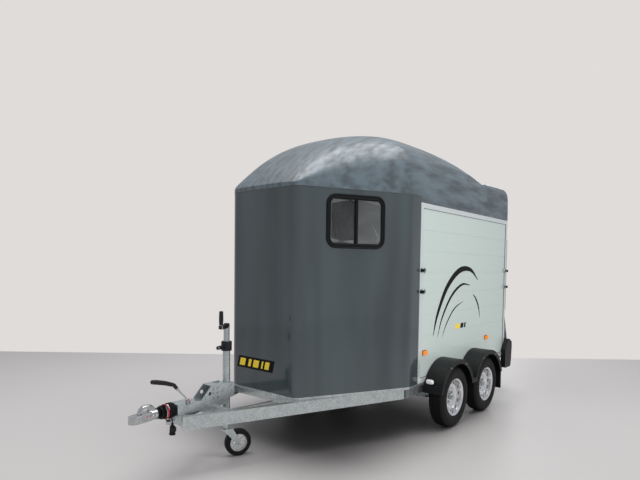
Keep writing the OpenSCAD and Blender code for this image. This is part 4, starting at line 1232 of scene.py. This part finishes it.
@dataclass
class BodyTrim:
    """Gaskets, rivets and the seam bead of the body shell."""

    wall_x: tuple[float, float] = (-1302.0, 808.0)
    wall_z: tuple[float, float] = (528.0, 2132.0)
    frame_y: float = 893.0
    seam_z: float = 2235.0
    rivet_gap: float = 168.0

    def wall_loop(self, y: float, grow: float) -> np.ndarray:
        """A rectangle with small round corners in the plane of a side wall."""
        (x0, x1), (z0, z1) = self.wall_x, self.wall_z
        loop = rounded_outline((x1 - x0) * MM + grow, (z1 - z0) * MM + grow, 0.006, 4)
        middle = road((x0 + x1) / 2, y, (z0 + z1) / 2)
        return middle + np.stack([loop[:, 0], 0 * loop[:, 0], loop[:, 1]], axis=1)

    def rivet_places(self, y: float) -> np.ndarray:
        """Places along the middle of the four edge profiles."""
        (x0, x1), (z0, z1) = self.wall_x, self.wall_z
        xs = np.linspace(x0 - 24, x1 + 24, round((x1 - x0) / self.rivet_gap) + 1)
        zs = np.linspace(z0 - 24, z1 + 24, round((z1 - z0) / self.rivet_gap) + 1)[1:-1]
        rows = ([[x, y, z] for z in (z0 - 24, z1 + 24) for x in xs]
                + [[x, y, z] for x in (x0 - 24, x1 + 24) for z in zs])
        return np.array([road(*row) for row in rows])

    def build(self) -> None:
        """Makes the trim of both sides and the seam round the nose."""
        for side in Side:
            tag, s = side.name.lower(), side.value
            gasket = Shape().bead(self.wall_loop(s * (self.frame_y - 3.5), 0.0), 0.0032)
            gasket.piece(f"wall_gasket_{tag}", RUBBER, "trailer", sharp=60)
            bolts(Shape(), self.rivet_places(s * self.frame_y), s * LEFT, 0.0048, 0.0022).piece(
                f"frame_rivets_{tag}", PROFILES, "trailer")
        plan = self.nose_plan(0.0006)
        seam = np.column_stack([plan, np.full(len(plan), self.seam_z * MM)])
        Shape().sweep(seam, 0.0022, 8).piece("roof_seam", SEALER, "trailer", sharp=60)

    @staticmethod
    def nose_plan(out: float) -> np.ndarray:
        """The body's plan from the right wall round the nose to the left wall, grown by out.

        Args:
            out: how far outside the body, in metres.

        Returns:
            Points (x, y) in metres.
        """
        knots = np.array([(858, -890), (1025, -890), (2020, -400), (2020, 400), (1025, 890), (858, 890)],
                         float)
        arcs = [round_corner(knots[k - 1], knots[k], knots[k + 1], radius, 16)
                for k, radius in zip(range(1, 5), (140, 110, 110, 140))]
        line_points = np.vstack([knots[:1], *arcs, knots[-1:]])
        heading = np.gradient(line_points, axis=0)
        normal = np.stack([heading[:, 1], -heading[:, 0]], axis=1)
        normal /= np.linalg.norm(normal, axis=1)[:, None]
        return line_points * MM + [ROAD_X, 0] + normal * out


@dataclass
class SideStripes:
    """A plain stripe design on each side wall: long curved strokes over a small bar."""

    wall_y: float = 888.2
    strokes: tuple[tuple[tuple[tuple[float, float], ...], float], ...] = (
        (((560, 900), (480, 1110), (280, 1380), (0, 1550), (-280, 1560), (-500, 1440)), 0.062),
        (((470, 880), (370, 1080), (170, 1290), (-70, 1400), (-290, 1390)), 0.030),
        (((370, 870), (270, 1010), (100, 1150), (-110, 1220)), 0.015),
        (((-360, 1290), (-450, 1230), (-530, 1130), (-570, 1010)), 0.024),
    )
    bar_x: tuple[float, float] = (60.0, -260.0)
    bar_z: float = 960.0

    def build(self) -> None:
        """Makes the strokes and the bar on both walls."""
        for side in Side:
            tag, s = side.name.lower(), side.value
            normal = s * LEFT
            film, accent = Shape(), Shape()
            for knots, width in self.strokes:
                curve = smooth_path(np.array(knots, float), 14)
                path = np.array([road(x, s * self.wall_y, z) for x, z in curve])
                t = np.linspace(0, 1, len(path))
                film.loft(stroke(path, 0.002 + width * np.sin(math.pi * t) ** 0.8, normal))
            x0, x1 = self.bar_x
            for k, (a, b) in enumerate(((0.0, 0.34), (0.40, 0.62), (0.68, 0.80))):
                ends = np.array([road(x0 + (x1 - x0) * q, s * self.wall_y, self.bar_z) for q in (a, b)])
                bar = stroke(line(ends[0], ends[1], 3), np.full(3, 0.052), normal)
                bar[:, [0, 3], 0] += 0.014
                (accent if k == 0 else film).loft(bar)
            film.piece(f"side_stripes_{tag}", INK, "trailer")
            accent.piece(f"side_accent_{tag}", YELLOW, "trailer")


@dataclass
class NosePlate:
    """A black plate low on the nose with slanted yellow bars."""

    centre: tuple[float, float] = (-80.0, 705.0)
    size: tuple[float, float] = (0.46, 0.105)
    bars: tuple[tuple[float, float], ...] = ((-0.165, 0.070), (-0.070, 0.034), (0.010, 0.070), (0.090, 0.020),
                                             (0.150, 0.052))
    lean: float = 0.25

    def build(self) -> None:
        """Makes the plate and its bars on the flat of the nose."""
        y, z = self.centre
        w, h = self.size
        corner = np.array([[-w / 2, -h / 2], [w / 2, -h / 2], [w / 2, h / 2], [-w / 2, h / 2]])
        corner[:, 0] += self.lean * corner[:, 1]
        across, base = LEFT, road(2020.2, y, z)
        Shape().loft(slab(corner, base, across, UP, 0.0015, 0.0006)).piece("nose_plate", INK, "trailer")
        film = Shape()
        for middle, width in self.bars:
            bar = np.array([[-width / 2, -0.033], [width / 2, -0.033], [width / 2, 0.033],
                            [-width / 2, 0.033]])
            bar[:, 0] += self.lean * bar[:, 1]
            film.loft(slab(bar, base + across * middle + [0.0015, 0, 0], across, UP, 0.0004, 0.0001))
        film.piece("nose_plate_bars", YELLOW, "trailer")


@dataclass
class BreakawayCable:
    """The red breakaway cable: four turns round the bellows, with a ferrule and a snap hook."""

    wire: float = 0.005
    radius: float = 0.0528
    turns: int = 4
    pitch: float = 0.0053
    start_x: float = 2968.6
    centre_z: float = 498.0

    def route(self) -> np.ndarray:
        """A helix: at angle t the point is (start + pitch * t / turn, R cos t, centre + R sin t)."""
        t = np.linspace(0, self.turns * FULL_TURN, self.turns * 28 + 1) + 0.4
        start = road(self.start_x, 0, self.centre_z)
        return start + np.stack([self.pitch * (t - t[0]) / FULL_TURN, self.radius * np.cos(t),
                                 self.radius * np.sin(t)], axis=1)

    def build(self) -> None:
        """Makes the cable, its two ferrules and the snap hook."""
        path = self.route()
        cable = Shape().sweep(path, self.wire / 2, 12).piece("breakaway_coil", RED_CABLE, "trailer", sharp=60)
        ends = Shape()
        ends.sweep(path[:5], 0.0042, 12).sweep(path[-5:], 0.0042, 12)
        tip, heading = path[-1], path[-1] - path[-3]
        heading = heading / np.linalg.norm(heading)
        t = np.linspace(0, FULL_TURN, 28, endpoint=False)[:, None]
        drop = -UP
        out = np.cross(heading, drop)
        out /= np.linalg.norm(out)
        loop = tip + 0.004 * heading + 0.024 * heading * (1 - np.cos(t)) / 2 + 0.008 * out * np.sin(t)
        ends.bead(loop, 0.0021, 8)
        hook = ends.piece("breakaway_hook", BRIGHT_ZINC, "trailer")
        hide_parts("breakaway_cable")


@dataclass
class BrakeLever:
    """The handbrake lever's ribbed grip, its pivot bolt and the red button at its foot."""

    plane_y: float = 72.0
    bend: tuple[tuple[float, float], ...] = ((2930, 675), (2952, 699), (2980, 711), (3010, 722), (3040, 731),
                                             (3070, 739), (3100, 746), (3128, 751), (3137, 752))
    radii: tuple[float, ...] = (0.0125, 0.0145, 0.0150, 0.0160, 0.0165, 0.0168, 0.0165, 0.0150, 0.0060)
    pivot: tuple[float, float] = (2813.0, 545.0)

    def build(self) -> None:
        """Makes the grip, with a shallow rib every 9 mm, and the pivot's fittings."""
        knots = np.array([[*p, r * 1000] for p, r in zip(self.bend, self.radii)], float)
        curve = smooth_path(knots, 10)
        path = np.array([road(x, self.plane_y, z) for x, z, _ in curve])
        run = np.concatenate([[0], np.cumsum(np.linalg.norm(np.diff(path, axis=0), axis=1))])
        radius = curve[:, 2] * MM + 0.0005 * np.cos(run / 0.009 * FULL_TURN)
        Shape().sweep(path, radius, 20).piece("lever_grip", GRIP, "handbrake", sharp=50)
        foot = Shape()
        foot.turn(np.array([[0.0001, 0], [0.0085, 0], [0.0085, 0.006], [0.006, 0.010], [0.0001, 0.010]]),
                  road(2828, self.plane_y, 566), np.array([0.7, 0.0, 0.72]), 20)
        foot.piece("lever_button", RED, "handbrake")
        bolts(Shape(), road(self.pivot[0], 86, self.pivot[1])[None], LEFT, 0.010, 0.008,
              hexed=True).piece("lever_pivot_nut", BRIGHT_ZINC, "trailer")


@dataclass
class CouplingTrim:
    """Handle, bolts and clamp rings of the ball coupling and its bellows."""

    head_x: float = 3052.0
    tow_z: float = 498.0
    handle: tuple[tuple[float, float], ...] = (
        (3066, 520), (3076, 548), (3096, 566), (3126, 570), (3156, 566), (3178, 548), (3190, 520))
    handle_half: tuple[float, float] = (0.020, 0.0085)
    clamps: tuple[tuple[float, float, float], ...] = ((2911, 0.0525, 0.008), (3018, 0.0460, 0.008),
                                                      (3049, 0.0400, 0.006))

    def build(self) -> None:
        """Makes the rounded release handle, the cross bolts, the wear mark and the bellows' clamps."""
        curve = smooth_path(np.array(self.handle, float), 10)
        path = np.array([road(x, 0, z) for x, z in curve])
        heading = np.gradient(path, axis=0)
        heading /= np.linalg.norm(heading, axis=1)[:, None]
        up = np.cross(heading, [0, 1.0, 0])
        t = np.linspace(0, FULL_TURN, 20, endpoint=False)[None, :, None]
        wide, high = self.handle_half
        grip = path[:, None] + wide * np.cos(t) * LEFT + high * np.sin(t) * up[:, None]
        Shape().loft(grip).piece("coupling_handle", BRIGHT_ZINC, "trailer", sharp=60)
        rings = Shape()
        for x, r, w in self.clamps:
            profile = np.array([[r - 0.012, 0], [r, 0.0006], [r + 0.0008, w / 2], [r, w - 0.0006],
                                [r - 0.012, w]])
            rings.turn(profile, road(x, 0, self.tow_z), AHEAD, 48)
        rings.piece("bellows_clamps", BLACK_PLASTIC, "trailer")
        fixings = Shape()
        for dx, dz in ((20.0, -4.0), (48.0, 0.0)):
            for s in (-1, 1):
                place = road(self.head_x + dx, s * 37.2, self.tow_z + dz)[None]
                bolts(fixings, place, s * LEFT, 0.0085, 0.007, hexed=True)
        fixings.piece("coupling_bolts", BRIGHT_ZINC, "trailer")
        mark = Shape()
        for s in (-1, 1):
            axis = s * LEFT
            mark.turn(np.array([[0.0001, 0], [0.007, 0], [0.006, 0.003], [0.0001, 0.0035]]),
                      road(3140, s * 33.5, self.tow_z + 6), axis, 20)
        mark.piece("wear_marks", RED, "trailer")


@dataclass
class JockeyWheelTrim:
    """Black crank, clamp handle, collar and the cheek bolts of the jockey wheel, and its wheel's ribs."""

    x: float = 2410.0
    tube_top: float = 955.0
    cheek_x: tuple[float, float] = (2600.0, 2690.0)
    rail_z: float = 458.0
    trail: float = 100.0
    yaw: float = math.radians(-22)
    wheel_r: float = 110.0
    # Arms: turn, reach from and to, half width, and heights from the tube's top.
    clamp_arm: tuple[float, ...] = (20, 14, 138, 16.0, -50, -24)
    crank_arm: tuple[float, ...] = (25, -23, 114, 20.5, 109, 141)
    crank_reach: float = 98.0
    grip_length: float = 0.113
    collar: tuple[tuple[float, float], ...] = ((31, -74), (41, -74), (43, -70), (43, -4), (40, 2), (31, 2))
    cap: tuple[tuple[float, float], ...] = ((0.1, 138), (22, 138), (24, 142), (20, 148), (0.1, 149))
    rib_count: int = 8

    def arm(self, turn: float, x0: float, x1: float, half: float, z0: float, z1: float) -> np.ndarray:
        """Rings of a rounded arm that is turned about the tube.

        Args:
            turn: its turn from ahead, in degrees.
            x0: where it begins, from the tube's middle.
            x1: where it ends.
            half: half its width.
            z0: its underside, from the tube's top.
            z1: its upper side.

        Returns:
            Rings for Shape.loft.
        """
        c, s = math.cos(math.radians(turn)), math.sin(math.radians(turn))
        along, cross = np.array([c, s, 0.0]), np.array([-s, c, 0.0])
        outline = rounded_outline((x1 - x0) * MM, 2 * half * MM, half * 0.95 * MM, 8)
        base = road(self.x, 0, self.tube_top + z0) + along * (x0 + x1) / 2 * MM
        return slab(outline, base, along, cross, (z1 - z0) * MM, 0.004)

    def build(self) -> None:
        """Makes the black covers, the bolts and the wheel's trim."""
        top = self.tube_top
        covers = Shape()
        covers.loft(self.arm(*self.clamp_arm)).loft(self.arm(*self.crank_arm))
        for profile, steps in ((self.collar, 40), (self.cap, 32)):
            covers.turn(np.array(profile) * MM, road(self.x, 0, top), UP, steps)
        turn, rise = math.radians(self.crank_arm[0]), self.crank_arm[-1]
        c, s = self.crank_reach * math.cos(turn), self.crank_reach * math.sin(turn)
        z = np.linspace(0, 1, 40)
        grip = road(self.x + c, s, top + rise) + np.outer(z, [0, 0, self.grip_length])
        radius = 0.0152 + 0.0022 * np.sin(z * math.pi) + 0.0004 * np.cos(z * 11 * FULL_TURN)
        radius[[0, -1]] *= 0.75
        covers.sweep(grip, radius, 20)
        covers.piece("jockey_handles", GRIP, "trailer", sharp=45)
        nuts = Shape()
        places = np.array([road(x, 0, self.rail_z + 174 - dz)
                           for x in (self.cheek_x[0] - 60, self.cheek_x[0] - 20) for dz in (30, 65, 100)])
        for side in (-1, 1):
            bolts(nuts, places + [0, side * 0.0562, 0], np.array([0.0, side, 0.0]), 0.0075, 0.006, hexed=True)
        nuts.piece("cheek_bolts", BRIGHT_ZINC, "trailer")
        along = np.array([math.cos(self.yaw), math.sin(self.yaw), 0.0])
        axis = np.array([-along[1], along[0], 0.0])
        hub = road(self.x, 0, self.wheel_r) - along * self.trail * MM
        ribs = Shape()
        for k in range(self.rib_count):
            a = k * FULL_TURN / self.rib_count
            ray = math.cos(a) * along + math.sin(a) * UP
            for side in (-1, 1):
                ribs.loft(slab(rounded_outline(0.046, 0.007, 0.003, 4),
                               hub + 0.047 * ray + side * axis * 0.005, ray, np.cross(side * axis, ray),
                               0.007, 0.0015))
        ribs.piece("jockey_wheel_ribs", WHEEL_SILVER, "jockey_wheel")
        nut = Shape()
        for side in (-1, 1):
            bolts(nut, (hub + side * axis * 0.0462)[None], side * axis, 0.011, 0.009, hexed=True)
        nut.piece("jockey_axle_nuts", BRIGHT_ZINC, "jockey_leg")


@dataclass
class MudguardTrim:
    """Edge beads and bolts of the mudguards."""

    outer: float = 378.0
    inner: float = 335.0
    face_y: float = 1093.3

    def build(self) -> None:
        """Makes an open bead along the outer and inner edge of each arch, and its bolts."""
        middle = (self.outer + self.inner + 1) / 2
        for side in Side:
            s, tag = side.value, side.name.lower()
            beads, heads = Shape(), Shape()
            for k, x in enumerate(AXLE_X):
                low, meet = math.asin(92 / self.outer), math.asin(137 / self.outer)
                ends = (low, math.pi - meet) if k == 0 else (meet, math.pi - low)
                edge = math.asin(92 / self.inner)
                for radius, (a0, a1) in ((self.outer, ends), (self.inner + 2, (edge, math.pi - edge))):
                    path = np.array([road(x + radius * math.cos(t), s * self.face_y,
                                          HUB_Z + radius * math.sin(t)) for t in np.linspace(a0, a1, 64)])
                    beads.sweep(path, 0.0032, 8)
                for angle in (62.0, 118.0):
                    a = math.radians(angle)
                    place = road(x + middle * math.cos(a), s * self.face_y,
                                 HUB_Z + middle * math.sin(a))[None]
                    bolts(heads, place, s * LEFT, 0.0075, 0.004)
            beads.piece(f"mudguard_beads_{tag}", BLACK_PLASTIC, "trailer", sharp=60)
            heads.piece(f"mudguard_bolts_{tag}", BRIGHT_ZINC, "trailer")


@dataclass
class Lamps:
    """Front position lamps, marker frames, the segments of the rear lamps and the reflectors."""

    marker_x: tuple[float, float] = (734.0, -761.0)
    marker_z: float = 763.0
    front_x: float = 729.2
    tail_reach: float = -1500.0

    def build(self) -> None:
        """Makes the lamps of both sides and the fittings on the ramp."""
        for side in Side:
            s, tag = side.value, side.name.lower()
            rims, lens = Shape(), Shape()
            for x in self.marker_x:
                loop = rounded_outline(0.076, 0.044, 0.006, 5)
                middle = road(x, s * 889.5, self.marker_z)
                rims.bead(middle + np.stack([loop[:, 0], 0 * loop[:, 0], loop[:, 1]], axis=1), 0.0026)
                for dx in np.linspace(-27, 27, 7):
                    lens.block(road(x + dx - 1.5, s * 909, self.marker_z - 17),
                               road(x + dx + 1.5, s * 911.4, self.marker_z + 17), 0.0006)
            rims.piece(f"marker_rims_{tag}", BLACK_PLASTIC, "trailer", sharp=60)
            lens.piece(f"marker_ribs_{tag}", AMBER, "trailer")
            front = Shape().loft(self.pod(road(self.front_x + 12, s * 960, 492.5), 0.0118, 0.040, 0.0225))
            front.piece(f"front_lamp_lens_{tag}", CLEAR, "trailer", sharp=60)
            base = Shape().loft(slab(rounded_outline(0.090, 0.054, 0.020, 8),
                                     road(self.front_x, s * 960, 492.5), LEFT, UP, 0.009, 0.002))
            base.block(road(self.front_x - 14, s * 928 - 9, 476), road(self.front_x + 2, s * 928 + 9, 508),
                       0.003)
            base.piece(f"front_lamp_base_{tag}", BLACK_PLASTIC, "trailer")
            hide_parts("front_lamps")
            self.rear(side)
        self.ramp_fittings()

    @staticmethod
    def pod(centre: np.ndarray, deep: float, wide: float, high: float) -> np.ndarray:
        """A rounded lens: half an egg. At (a, t) it lies at (d sin a, w cos a cos t, h cos a sin t)."""
        a = np.linspace(-0.35, math.pi / 2 - 0.06, 14)[:, None]
        t = np.linspace(0, FULL_TURN, 40, endpoint=False)[None]
        n = 0.62
        c, s = np.sign(np.cos(t)) * np.abs(np.cos(t)) ** n, np.sign(np.sin(t)) * np.abs(np.sin(t)) ** n
        k = np.cos(a) ** 0.5
        return centre + np.stack([deep * np.sin(a) + 0 * t, wide * k * c, high * k * s], axis=-1)

    def lens_x(self, z: float) -> float:
        """Where the slanted rear face of a rear lens lies at height z, in millimetres."""
        return self.tail_reach + 18 - (z - 390) * 17.0 / 210

    def rear(self, side: Side) -> None:
        """Segments, frame and ribs of one rear lamp.

        Args:
            side: which lamp.
        """
        s, tag = side.value, side.name.lower()
        ribs, amber, clear, frame_shape = Shape(), Shape(), Shape(), Shape()
        y0, y1 = 893.0, 940.0
        for shape, z0, z1 in ((ribs, 452, 524), (amber, 530, 594), (clear, 396, 446)):
            for z in np.arange(z0, z1, 6.0):
                x = self.lens_x(z + 2)
                lo, hi = road(x - 2.2, s * y0, z), road(x + 1.0, s * y1, z + 4.4)
                shape.block(np.minimum(lo, hi), np.maximum(lo, hi), 0.0008)
        ribs.piece(f"tail_lamp_ribs_{tag}", RED, "trailer")
        amber.piece(f"tail_lamp_amber_{tag}", AMBER, "trailer")
        clear.piece(f"tail_lamp_clear_{tag}", CLEAR, "trailer")
        for z in (391, 449, 527, 597):
            x = self.lens_x(z)
            lo, hi = road(x - 3.0, s * 890.6, z - 1.5), road(x + 1.5, s * 943.6, z + 1.5)
            frame_shape.block(np.minimum(lo, hi), np.maximum(lo, hi), 0.0006)
        for y in (891.5, 942.5):
            path = np.array([road(self.lens_x(z) - 1.0, s * y, z) for z in (391, 460, 530, 597)])
            frame_shape.sweep(path, 0.0022, 8)
        frame_shape.piece(f"tail_lamp_frame_{tag}", BLACK_PLASTIC, "trailer")

    def ramp_fittings(self) -> None:
        """Two triangular reflectors and their frames on the ramp."""
        back, across = -AHEAD, -LEFT
        red, edge = Shape(), Shape()
        for s in (-1, 1):
            t = np.array([90, 210, 330]) * math.pi / 180
            tri = np.stack([np.cos(t), np.sin(t)], axis=1)
            place = road(-1396.2, s * 640, 640)
            edge.loft(slab(tri * 0.092, place, across, UP, 0.004, 0.001))
            red.loft(slab(tri * 0.076, place + back * 0.004, across, UP, 0.002, 0.0008))
        edge.piece("reflector_frames", BLACK_PLASTIC, "ramp")
        red.piece("reflectors", RED, "ramp")


@dataclass
class TieHooks:
    """Knob caps and bent hooks on the corner profiles for tying horses up."""

    x: tuple[float, float] = (832.0, -1326.0)
    z: tuple[float, float] = (1350.0, 1550.0)
    face_y: float = 917.3

    def build(self) -> None:
        """Makes the domed caps and a curled hook beside each."""
        for side in Side:
            s, tag = side.value, side.name.lower()
            axis = s * LEFT
            caps, hooks = Shape(), Shape()
            for x in self.x:
                for z in self.z:
                    dome = np.array([[0.1, 0], [15.5, 0], [16.5, 3], [15, 8], [9, 11], [0.1, 12]]) * MM
                    caps.turn(dome, road(x, s * self.face_y, z), axis, 28)
                    foot = np.array([[0.1, -24], [20, -24], [20, -21], [14, -18], [0.1, -18]]) * MM
                    caps.turn(foot, road(x, s * self.face_y, z), axis, 28)
                    t = np.linspace(-0.6, 1.45 * math.pi, 30)
                    sense = -1 if x > 0 else 1
                    path = np.array([road(x + sense * (38 - 23 * math.cos(a)), s * (self.face_y - 12),
                                          z + 23 * math.sin(a)) for a in t])
                    start = np.array([road(x + sense * k, s * (self.face_y - 12), z - 12)
                                      for k in (2, 8, 14)])
                    hooks.sweep(np.vstack([start, path]), 0.0052, 10)
            caps.piece(f"tie_caps_{tag}", BLACK_PLASTIC, "trailer")
            hooks.piece(f"tie_hooks_{tag}", BRIGHT_ZINC, "trailer", sharp=60)


@dataclass
class DoorTrim:
    """Gasket and lock of the groom's door."""

    along: float = 555.0
    size: tuple[float, float] = (0.700, 1.610)
    corner: float = 0.070
    middle_z: float = 1345.0
    handle: tuple[float, float] = (280.0, 1180.0)

    def build(self) -> None:
        """Makes the bead in the door's edge, the lock barrel and the paddle."""
        face = SlantedFace(Side.RIGHT)
        loop = rounded_outline(self.size[0] - 0.003, self.size[1] - 0.003, self.corner - 0.0015, 10)
        Shape().bead(face.outline(loop, self.along, -3.0, self.middle_z), 0.0030, 8).piece(
            "door_gasket", RUBBER, "groom_door", sharp=60)
        _, outward = face.axes()
        lock = Shape()
        barrel = np.array([[0.1, 0], [11, 0], [11, 2.2], [8, 3.0], [7.4, 1.6], [0.1, 1.6]]) * MM
        lock.turn(barrel, face.place(self.handle[0], 19.0, self.handle[1] - 45), outward, 28)
        lock.piece("door_lock", BRIGHT_ZINC, "groom_door")
        paddle = Shape().loft(face.plate(rounded_outline(0.050, 0.058, 0.010), self.handle[0], 10.8,
                                         self.handle[1] + 10, 0.004, 0.0015))
        paddle.piece("door_paddle", BLACK_GLOSS, "groom_door")


@dataclass
class RampTrim:
    """Seals, side handles and rivets of the rear ramp."""

    outer_x: float = -1396.0
    half_w: float = 800.0
    z: tuple[float, float] = (520.0, 1940.0)
    handle: tuple[tuple[float, float], ...] = ((0, -80), (-34, -72), (-44, -50), (-44, 50), (-34, 72),
                                               (0, 80))
    handle_at: tuple[float, float] = (690.0, 1500.0)

    def build(self) -> None:
        """Makes the bead inside the frame, two handles and the frame's rivets."""
        z0, z1 = self.z
        loop = rounded_outline(2 * (self.half_w - 40) * MM, (z1 - z0 - 80) * MM, 0.006, 4)
        middle = road(self.outer_x + 2.5, 0, (z0 + z1) / 2)
        path = middle + np.stack([0 * loop[:, 0], loop[:, 0], loop[:, 1]], axis=1)
        Shape().bead(path, 0.003).piece("ramp_gasket", RUBBER, "ramp", sharp=60)
        handles, feet = Shape(), Shape()
        for s in (-1, 1):
            y, middle_z = s * self.handle_at[0], self.handle_at[1]
            curve = smooth_path(np.array(self.handle, float), 8)
            path = np.array([road(self.outer_x + x, y, middle_z + z) for x, z in curve])
            handles.sweep(path, 0.009, 16)
            for dz in (-80, 80):
                flange = np.array([[0.1, 0], [17, 0], [16, 3], [10, 5], [0.1, 5]]) * MM
                feet.turn(flange, road(self.outer_x + 3.5, y, middle_z + dz), -AHEAD, 24)
        handles.piece("ramp_handles", BLACK_PLASTIC, "ramp", sharp=60)
        feet.piece("ramp_handle_feet", BRIGHT_ZINC, "ramp")
        ys = np.linspace(-self.half_w + 20, self.half_w - 20, 10)
        zs = np.linspace(z0 + 20, z1 - 20, 10)[1:-1]
        places = [road(self.outer_x, y, z) for z in (z0 + 20, z1 - 20) for y in ys]
        places += [road(self.outer_x, y, z) for y in (-self.half_w + 20, self.half_w - 20) for z in zs]
        bolts(Shape(), np.array(places), -AHEAD, 0.005, 0.0022).piece("ramp_rivets", PROFILES, "ramp")


@dataclass
class HatchTrim:
    """A handle, a bead and a stiffening rib on the upper hatch."""

    outer_x: float = -1382.0
    bottom_z: float = 1952.0
    handle: tuple[tuple[float, float], ...] = ((0, -95), (-26, -88), (-34, -66), (-34, 66), (-26, 88),
                                               (0, 95))
    rib_half: float = 830.0
    seal_half: float = 870.0

    def build(self) -> None:
        """Makes the handle, the bottom rib and the lower seal."""
        grip = Shape()
        curve = smooth_path(np.array(self.handle, float), 8)
        path = np.array([road(self.outer_x + x, y, self.bottom_z + 75) for x, y in curve])
        grip.sweep(path, 0.008, 16)
        grip.piece("hatch_handle", BLACK_PLASTIC, "hatch", sharp=60)
        rib = box_rings(road(self.outer_x - 7, -self.rib_half, self.bottom_z + 4),
                        road(self.outer_x + 1, self.rib_half, self.bottom_z + 34), 0.003)
        Shape().loft(rib).piece("hatch_rib", PROFILES, "hatch")
        seal = line(*(road(self.outer_x + 13, y, self.bottom_z - 2)
                      for y in (-self.seal_half, self.seal_half)), 24)
        Shape().sweep(seal, 0.005, 10).piece("hatch_seal", RUBBER, "hatch", sharp=60)


@dataclass
class LatchTrim:
    """Cam levers over the latch plates of the ramp."""

    x: float = -1392.0
    y: float = 826.0
    z: float = 1820.0
    lever: tuple[tuple[float, float], ...] = ((0, 16), (-8, -10), (-12, -50), (-9, -86), (-16, -104))

    def build(self) -> None:
        """Makes a rounded lever and its pivot on each rear post."""
        levers, pins = Shape(), Shape()
        for s in (-1, 1):
            curve = smooth_path(np.array(self.lever, float), 8)
            path = np.array([road(self.x + x, s * self.y, self.z + z) for x, z in curve])
            levers.sweep(path, np.linspace(0.0085, 0.0065, len(path)), 14)
            pins.turn(np.array([[0.1, -17], [6, -17], [6, 17], [0.1, 17]]) * MM,
                      road(self.x, s * self.y, self.z + 6), LEFT, 20)
        levers.piece("latch_levers", BLACK_PLASTIC, "trailer", sharp=60)
        pins.piece("latch_pins", BRIGHT_ZINC, "trailer")


@dataclass
class UnderbodyTrim:
    """Brake rod, cross plate bolts, axle clamps and the cable's gland under the trailer."""

    arm_back: float = 150.0
    rod: tuple[tuple[float, float], ...] = ((2600, 405), (2300, 380), (1500, 345), (700, 332), (-240, 330))
    clamp_y: float = 800.0
    clamp_z: float = 352.5
    housing_x: tuple[float, float] = (2842.0, 2522.0)
    relief: tuple[tuple[float, float], ...] = ((4.3, 0), (9.6, 0), (9.6, 3), (7.6, 5), (6.8, 12), (5.4, 22),
                                               (4.3, 24))

    def build(self) -> None:
        """Makes the rod, the clamps and bolts, and the strain relief."""
        path = np.array([road(x, 0, z) for x, z in self.rod])
        Shape().sweep(smooth_path(path, 10), 0.005, 10).piece("brake_rod", ZINC, "trailer", sharp=60)
        clamps, nuts = Shape(), Shape()
        z = self.clamp_z
        for x in (axle + self.arm_back for axle in AXLE_X):
            for y in (-self.clamp_y, self.clamp_y):
                clamps.block(road(x - 52, y - 28, z), road(x + 52, y + 28, z + 5.2), 0.002)
                places = np.array([road(x + dx, y + dy, z) for dx in (-44, 44) for dy in (-18, 18)])
                bolts(nuts, places, -UP, 0.008, 0.009, hexed=True)
        for x in self.housing_x:
            places = np.array([road(x + 20, s * 40, 378) for s in (-1, 1)])
            bolts(nuts, places, -UP, 0.008, 0.008, hexed=True)
        clamps.piece("axle_clamps", ZINC, "trailer")
        nuts.piece("underbody_bolts", BRIGHT_ZINC, "trailer")
        exit_place = road(*LightingCable().lead[0])
        Shape().turn(np.array(self.relief) * MM, exit_place, AHEAD, 28).piece(
            "cable_gland", BLACK_PLASTIC, "trailer")


@dataclass
class PlugTrim:
    """Ribbed grip, lid and hinge of the lighting plug."""

    top: tuple[float, float, float] = (2956.0, 60.0, 418.0)
    height: float = 78.0

    def build(self) -> None:
        """Makes a ribbed sleeve over the plug and its sprung lid."""
        x, y, z = self.top
        down = -UP
        h = np.linspace(20, self.height - 4, 60)
        r = 17.6 + (h - 20) / 58 * 4.4 + 0.7 * np.maximum(0, np.cos(h / 6.5 * FULL_TURN)) * (h < 56)
        profile = np.vstack([np.stack([r, h], axis=1), [[16, self.height - 4], [12, 20]]]) * MM
        sleeve = Shape().turn(profile, road(x, y, z), down, 36)
        lid = np.array([[0.1, 74], [23.4, 74], [24.2, 77], [23.4, 81], [19, 84], [0.1, 85]]) * MM
        sleeve.turn(lid, road(x, y, z), down, 36)
        sleeve.block(road(x - 8, y + 17, z - 84), road(x + 8, y + 27, z - 60), 0.003)
        sleeve.piece("plug_sleeve", BLACK_PLASTIC, "trailer", sharp=50)


def main() -> None:
    """Builds the studio and every sub-assembly in order."""
    logging.basicConfig(level=logging.INFO, format="%(name)s: %(message)s")
    builders = (Studio(), LightingCable(), BreakawayCable(), RoofSkin(), SteelWheel(), RoadTyres(),
                WheelTrim(), Windows(), BodyTrim(), SideStripes(), NosePlate(), BrakeLever(), CouplingTrim(),
                JockeyWheelTrim(), MudguardTrim(), Lamps(), TieHooks(), DoorTrim(), RampTrim(), HatchTrim(),
                LatchTrim(), UnderbodyTrim(), PlugTrim())
    for builder in builders:
        builder.build()
        log.info("built %s", type(builder).__name__)
    CadFinishes().dress()


if __name__ == "__main__":
    main()
